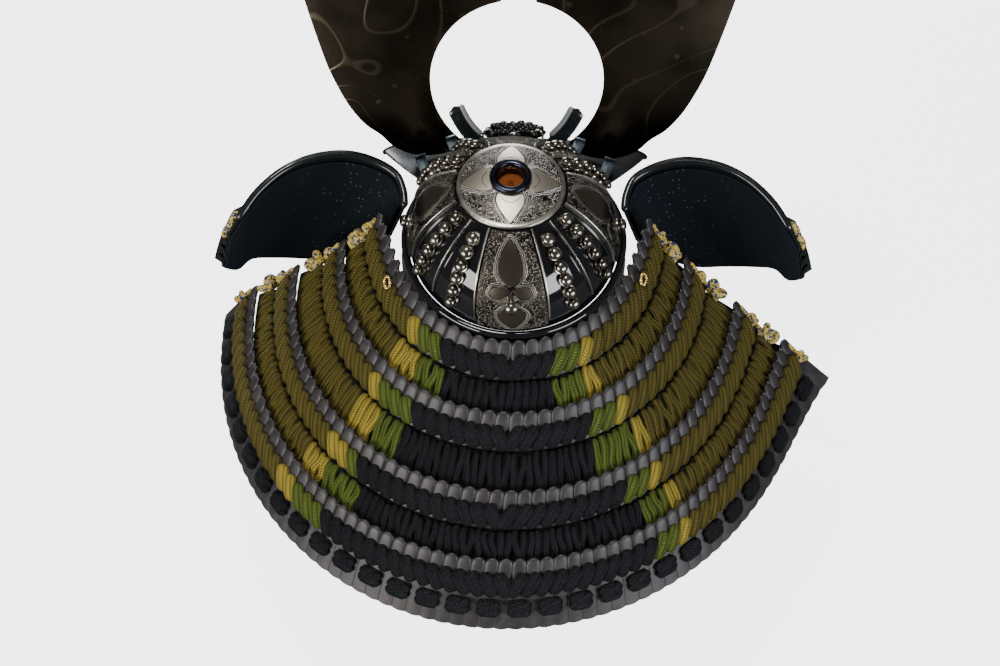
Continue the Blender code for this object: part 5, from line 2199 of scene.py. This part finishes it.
@dataclass
class EdgeKnots:
    """Speckled cord knotted down the ends of the lames, and the two gilt eyelets."""

    form: NeckForm = NECK
    cord_radius: float = 0.0010
    big: tuple[float, float] = (0.0030, 0.0037)
    small: tuple[float, float] = (0.0018, 0.0020)
    eyelet_radius: float = 0.0022
    eyelet_tube: float = 0.0006
    eyelet_turns: dict[Side, float] = field(
        default_factory=lambda: {Side.RIGHT: 59.7, Side.LEFT: -64.5}
    )
    eyelet_along: float = 0.0062

    def knot(
        self,
        bm: BMesh,
        base: tuple[Vector, Vector, Vector, Vector],
        size: tuple[float, float],
        radius: float,
        twist: float,
    ) -> None:
        """Add a three-lobed knot.

        Args:
            bm: Mesh that takes it.
            base: Middle point and the directions across, down and out.
            size: Half width across and half length down.
            radius: Radius of the cord.
            twist: Turn of the knot in radians.
        """
        here, across, down, out = base
        line = []
        for step in range(54):
            turn = math.tau * step / 54
            x = (math.sin(turn + twist) + 2.0 * math.sin(2.0 * turn + twist)) / 3.0
            y = (math.cos(turn + twist) - 2.0 * math.cos(2.0 * turn + twist)) / 3.0
            z = -math.sin(3.0 * turn)
            line.append(here + across * x * size[0] + down * y * size[1] + out * z * radius * 0.9)
        ring_tube(line, radius, closed=True).add_to(bm, 10)

    def build_side(self, side: Side) -> None:
        """Build the cord and knots down one end of the lames."""
        form = self.form
        face = form.wall / 2 + form.gap
        bm = bmesh.new()
        for lame in range(len(form.starts)):
            start = form.start(lame)
            along = form.head_length + form.gap + form.narrow_width / 2
            lift = form.lame_lift(along) + face + 0.0016
            base = form.frame_at(side.value, start + along, lift, 0.0024)
            self.knot(bm, base, self.small, self.cord_radius * 1.0, 0.7 * lame)
            if lame < len(form.starts) - 1:
                along = form.lame_length + 0.0028
                lift = form.lame_lift(form.lame_length) + face + 0.0022
                base = form.frame_at(side.value, start + along, lift, 0.0026)
                self.knot(bm, base, self.big, self.cord_radius * 1.45, 1.1 + 0.9 * lame)
            line = []
            stops = (0.0030, 0.0060, 0.0090, 0.0130, 0.0165, 0.0205)
            for along in stops[: 3 if lame == len(form.starts) - 1 else None]:
                lift = form.lame_lift(min(along, form.lame_length)) + face + 0.0011
                line.append(form.point(side.value, start + along, lift, 0.0022))
            ring_tube(line, self.cord_radius * 0.8).add_to(bm, 10)
        name = side.name.lower()
        node = f"edge_braid_{name}"
        make_piece(f"edge_knots_{name}", bm, [SPECKLED], [node], CORD_SHARP)

    def eyelet_seat(self, side: float, along: float) -> Vector:
        """Point at an eyelet's middle height above the highest narrow band."""
        form = self.form
        stand = form.wall / 2 + form.gap + form.narrow_wall + 0.0003 + self.eyelet_tube
        return form.point(side, form.start(0) + along, form.lame_lift(along) + stand)

    def build_eyelets(self) -> None:
        """Build the two ridged gilt eyelets."""
        for side in Side:
            turn = self.eyelet_turns[side] / 90.0
            place = self.eyelet_seat(turn, self.eyelet_along)
            across = self.eyelet_seat(turn + 1e-4, self.eyelet_along) - place
            down = self.eyelet_seat(turn, self.eyelet_along + 1e-4) - place
            line = [
                Vector((
                    (self.eyelet_radius - self.eyelet_tube) * math.cos(angle),
                    (self.eyelet_radius - self.eyelet_tube) * math.sin(angle) * 1.35,
                    0.0,
                ))
                for angle in (math.tau * step / 72 for step in range(72))
            ]
            ring = ring_tube(line, self.eyelet_tube, closed=True)
            sizes = [self.eyelet_tube * (1.12 if row % 4 < 2 else 0.88) for row in range(73)]
            ring.half_width, ring.half_height = sizes, list(sizes)
            bm = bmesh.new()
            ring.add_to(bm, 12)
            bm.transform(facing(place, across.cross(down).normalized()))
            name = side.name.lower()
            make_piece(f"gilt_eyelet_{name}", bm, [GILT], [f"eyelet_{name}"], 60.0)

    def build(self) -> None:
        """Build the knots and the eyelets."""
        for side in Side:
            self.build_side(side)
        self.build_eyelets()


# ---------------------------------------------------------------- turn-backs


@dataclass
class TurnBacks:
    """Two lacquered turn-backs with a rolled rim, a cloth lining and a laced double tip."""

    ring_width: float = NECK.ring_width
    ring_depth: float = NECK.ring_front
    span: float = 0.0668
    forward: float = 0.0175
    rise: float = 0.0099
    height: float = 0.0580
    slope: float = 0.0110
    root_forward: float = 0.0145
    root_gap: float = 0.0004
    wall: float = 0.0014
    rim: float = 0.0030
    lining_wall: float = 0.0010
    gap: float = 0.0004
    sections: tuple[tuple[float, ...], ...] = (
        (0.000, 0.00, 0.00, 0.33, 0.55, 0.00),
        (0.010, 0.34, 0.24, 0.57, 0.80, 0.09),
        (0.060, 0.71, 0.53, 0.82, 1.00, 0.32),
        (0.200, 0.94, 0.82, 0.97, 0.91, 0.50),
        (0.360, 1.00, 1.00, 1.00, 0.82, 0.77),
        (0.547, 0.86, 1.00, 0.90, 0.64, 0.91),
        (0.700, 0.57, 0.82, 0.72, 0.55, 1.00),
        (0.830, 0.14, 0.47, 0.54, 0.45, 0.86),
        (0.920, -0.29, 0.00, 0.43, 0.36, 0.73),
        (1.000, -0.63, -0.70, 0.20, 0.27, 0.55),
    )

    def surface(self, length: float, drop: float) -> Vector:
        """Point of the +X turn-back's middle face, from root to tip and from its rim down."""
        columns = ("out", "forward", "rise", "height", "flare", "back")
        table = [dict(zip(columns, row)) for row in self.sections]
        row = smooth_row(table, length)
        turn = math.acos(-self.root_forward / self.ring_depth)
        root = self.ring_width * math.sin(turn) + self.root_gap + self.rim / 2
        edge = Vector((
            root + self.span * row["out"],
            -self.root_forward - self.forward * row["forward"],
            self.rise * row["rise"],
        ))
        fall = Vector((
            self.slope * row["flare"],
            self.slope * row["back"],
            -self.height * row["height"],
        ))
        return edge + fall * drop

    def at(self, side: Side, length: float, drop: float, lift: float) -> Vector:
        """Point at a lift from the middle face, on either side of the helmet."""
        point = lifted(self.surface, length, drop, lift)
        return Vector((side.value * point.x, point.y, point.z))

    def build_side(self, side: Side) -> None:
        """Build one turn-back."""
        name = side.name.lower()

        def plate(u: float, v: float, w: float) -> Vector:
            """Point of the plate."""
            jag = 0.02 * abs(math.sin(3.5 * math.pi * v)) * u**20
            return self.at(side, u * (1.0 - jag), v, self.wall * (w - 0.5))

        bm = slab(72, 24, plate)
        bar = bmesh.new()
        line = [self.at(side, 0.005 + 0.90 * step / 60, 0.03, 0.0) for step in range(61)]
        ring_tube(line, self.rim / 2).add_to(bar, 16)
        gather(bm, bar)

        def outer_tip(u: float, v: float, w: float) -> Vector:
            """Point of the second plate at the tip."""
            length = between(0.86, 1.012, u)
            jag = 0.016 * abs(math.sin(3.0 * math.pi * v + 0.8)) * u**12
            lift = -self.wall * 0.5 - 0.0026 * min(1.0, u / 0.25) - 0.0009 * (1.0 - w)
            return self.at(side, length - jag, between(0.02, 0.88, v), lift)

        gather(bm, slab(18, 12, outer_tip))
        obj = make_piece(
            f"turnback_plate_{name}", bm, [BLACK_GLOSS], [f"turnback_{name}"]
        )
        bevelled(obj, 0.0002)

        def cloth(u: float, v: float, w: float) -> Vector:
            """Point of the lining."""
            length, drop = between(0.02, 0.985, u), between(0.075, 0.985, v)
            soft = 0.00015 * math.sin(26.0 * u) * math.sin(17.0 * v)
            lift = self.wall / 2 + self.gap * 0.5 + self.lining_wall * w + soft
            return self.at(side, length, drop, lift)

        obj = make_piece(
            f"turnback_cloth_{name}",
            slab(64, 28, cloth),
            [NAVY_LINING],
            [f"lining_{name}"],
        )
        bevelled(obj, 0.0003)
        self.build_tip_cord(side)

    def build_tip_cord(self, side: Side) -> None:
        """Build the speckled cord between the two plates of the tip."""
        bm = bmesh.new()
        for start in (0.90, 0.955):
            line = []
            for step in range(9):
                share = step / 8
                lift = -self.wall / 2 - 0.0013 - 0.0008 * math.sin(math.pi * share)
                line.append(self.at(side, start + 0.045 * share, 0.02 + 0.05 * share, lift))
            ring_tube(line, 0.0014).add_to(bm, 10)
        make_piece(f"tip_cord_{side.name.lower()}", bm, [SPECKLED], (), CORD_SHARP)

    def build(self) -> None:
        """Build both turn-backs."""
        for side in Side:
            self.build_side(side)


# ---------------------------------------------------------------- studio


@dataclass
class Studio:
    """Pale floor, soft lights and the camera at the photograph's angle."""

    elevation: float = 56.0
    distance: float = 0.9
    focal_px: float = 2400.0
    centre_px: tuple[float, float] = (514.0, 238.0)
    roll: float = 1.1
    image: tuple[int, int] = (1000, 666)
    sensor_mm: float = 36.0
    floor_z: float = -0.16
    floor_radius: float = 0.75

    def build_camera(self) -> None:
        """Place the camera."""
        angle, roll = math.radians(self.elevation), math.radians(self.roll)
        forward = Vector((0.0, -math.cos(angle), -math.sin(angle)))
        right = Vector((-1.0, 0.0, 0.0))
        up = right.cross(forward)
        right_rolled = right * math.cos(roll) + up * math.sin(roll)
        up_rolled = up * math.cos(roll) - right * math.sin(roll)
        aside = (self.centre_px[0] - self.image[0] / 2) / self.focal_px * self.distance
        above = -(self.centre_px[1] - self.image[1] / 2) / self.focal_px * self.distance
        place = -(right_rolled * aside + up_rolled * above + forward * self.distance)
        data = bpy.data.cameras.new("camera")
        data.sensor_width = self.sensor_mm
        data.lens = self.focal_px / self.image[0] * self.sensor_mm
        camera = bpy.data.objects.new("camera", data)
        bpy.context.scene.collection.objects.link(camera)
        matrix = Matrix((right_rolled, up_rolled, -forward)).transposed().to_4x4()
        matrix.translation = place
        camera.matrix_world = matrix
        bpy.context.scene.camera = camera

    def build_light(
        self, name: str, place: Vector, size: tuple[float, float], watts: float, tint: Color
    ) -> None:
        """Add a soft area light that faces the helmet.

        Args:
            name: Name of the light.
            place: Where it stands.
            size: Width and height.
            watts: Power.
            tint: Colour.
        """
        data = bpy.data.lights.new(name, "AREA")
        data.shape = "RECTANGLE"
        data.size, data.size_y = size
        data.energy = watts
        data.color = tint
        light = bpy.data.objects.new(name, data)
        aim = Vector((0.0, 0.02, -0.02)) - place
        turn = aim.to_track_quat("-Z", "Y").to_matrix().to_4x4()
        light.matrix_world = Matrix.Translation(place) @ turn
        bpy.context.scene.collection.objects.link(light)

    def build_floor(self) -> None:
        """Build the plain pale floor."""
        bm = bmesh.new()
        bmesh.ops.create_circle(bm, cap_ends=True, segments=96, radius=self.floor_radius)
        mesh = bpy.data.meshes.new("floor")
        bm.to_mesh(mesh)
        bm.free()
        mesh.transform(Matrix.Translation((0.0, 0.0, self.floor_z)))
        material = bpy.data.materials.new("pale_floor")
        material.use_nodes = True
        shader = material.node_tree.nodes["Principled BSDF"]
        board = NodeBoard(material.node_tree)
        seen = board.add("ShaderNodeLightPath").outputs["Is Camera Ray"]
        board.feed(shader, {
            "Base Color": board.blend(seen, (0.10, 0.10, 0.10), (0.90, 0.90, 0.90)),
            "Emission Color": board.blend(seen, (0.0, 0.0, 0.0), (0.86, 0.86, 0.86)),
            "Emission Strength": 4.0,
            "Roughness": 0.9,
        })
        mesh.materials.append(material)
        floor = bpy.data.objects.new("floor", mesh)
        bpy.context.scene.collection.objects.link(floor)

    def build_world(self) -> None:
        """Give the world a plain pale light."""
        world = bpy.data.worlds.new("studio")
        world.use_nodes = True
        bpy.context.scene.world = world
        board = NodeBoard(world.node_tree)
        background = world.node_tree.nodes["Background"]
        path = board.add("ShaderNodeLightPath")
        soft = board.blend(path.outputs["Is Glossy Ray"], (0.014, 0.014, 0.015), (0.10, 0.10, 0.10))
        seen = board.blend(path.outputs["Is Camera Ray"], soft, (4.5, 4.5, 4.5))
        board.join(seen, background.inputs["Color"])

    def build(self) -> None:
        """Build the studio."""
        self.build_camera()
        self.build_floor()
        self.build_world()
        white = (1.0, 0.98, 0.95)
        cool = (0.93, 0.97, 1.0)
        self.build_light("key", Vector((0.62, 0.60, 0.16)), (0.56, 0.32), 6.4, white)
        self.build_light("fill", Vector((-0.64, 0.58, 0.16)), (0.52, 0.32), 5.4, cool)
        self.build_light("over", Vector((0.12, -0.10, 1.0)), (0.34, 0.26), 5.6, white)
        self.build_light("front", Vector((0.16, -0.80, 0.20)), (0.60, 0.36), 4.5, cool)


def main() -> None:
    """Build the studio and dress every part of the helmet."""
    logging.basicConfig(level=logging.INFO, format="%(name)s %(message)s")
    visor = Visor()
    for part in (
        Studio(),
        Bowl(),
        CrownPlate(),
        Ribs(),
        visor,
        Horns(visor),
        NeckGuard(),
        EdgeKnots(),
        TurnBacks(),
    ):
        LOG.info("building %s", type(part).__name__)
        part.build()


if __name__ == "__main__":
    main()
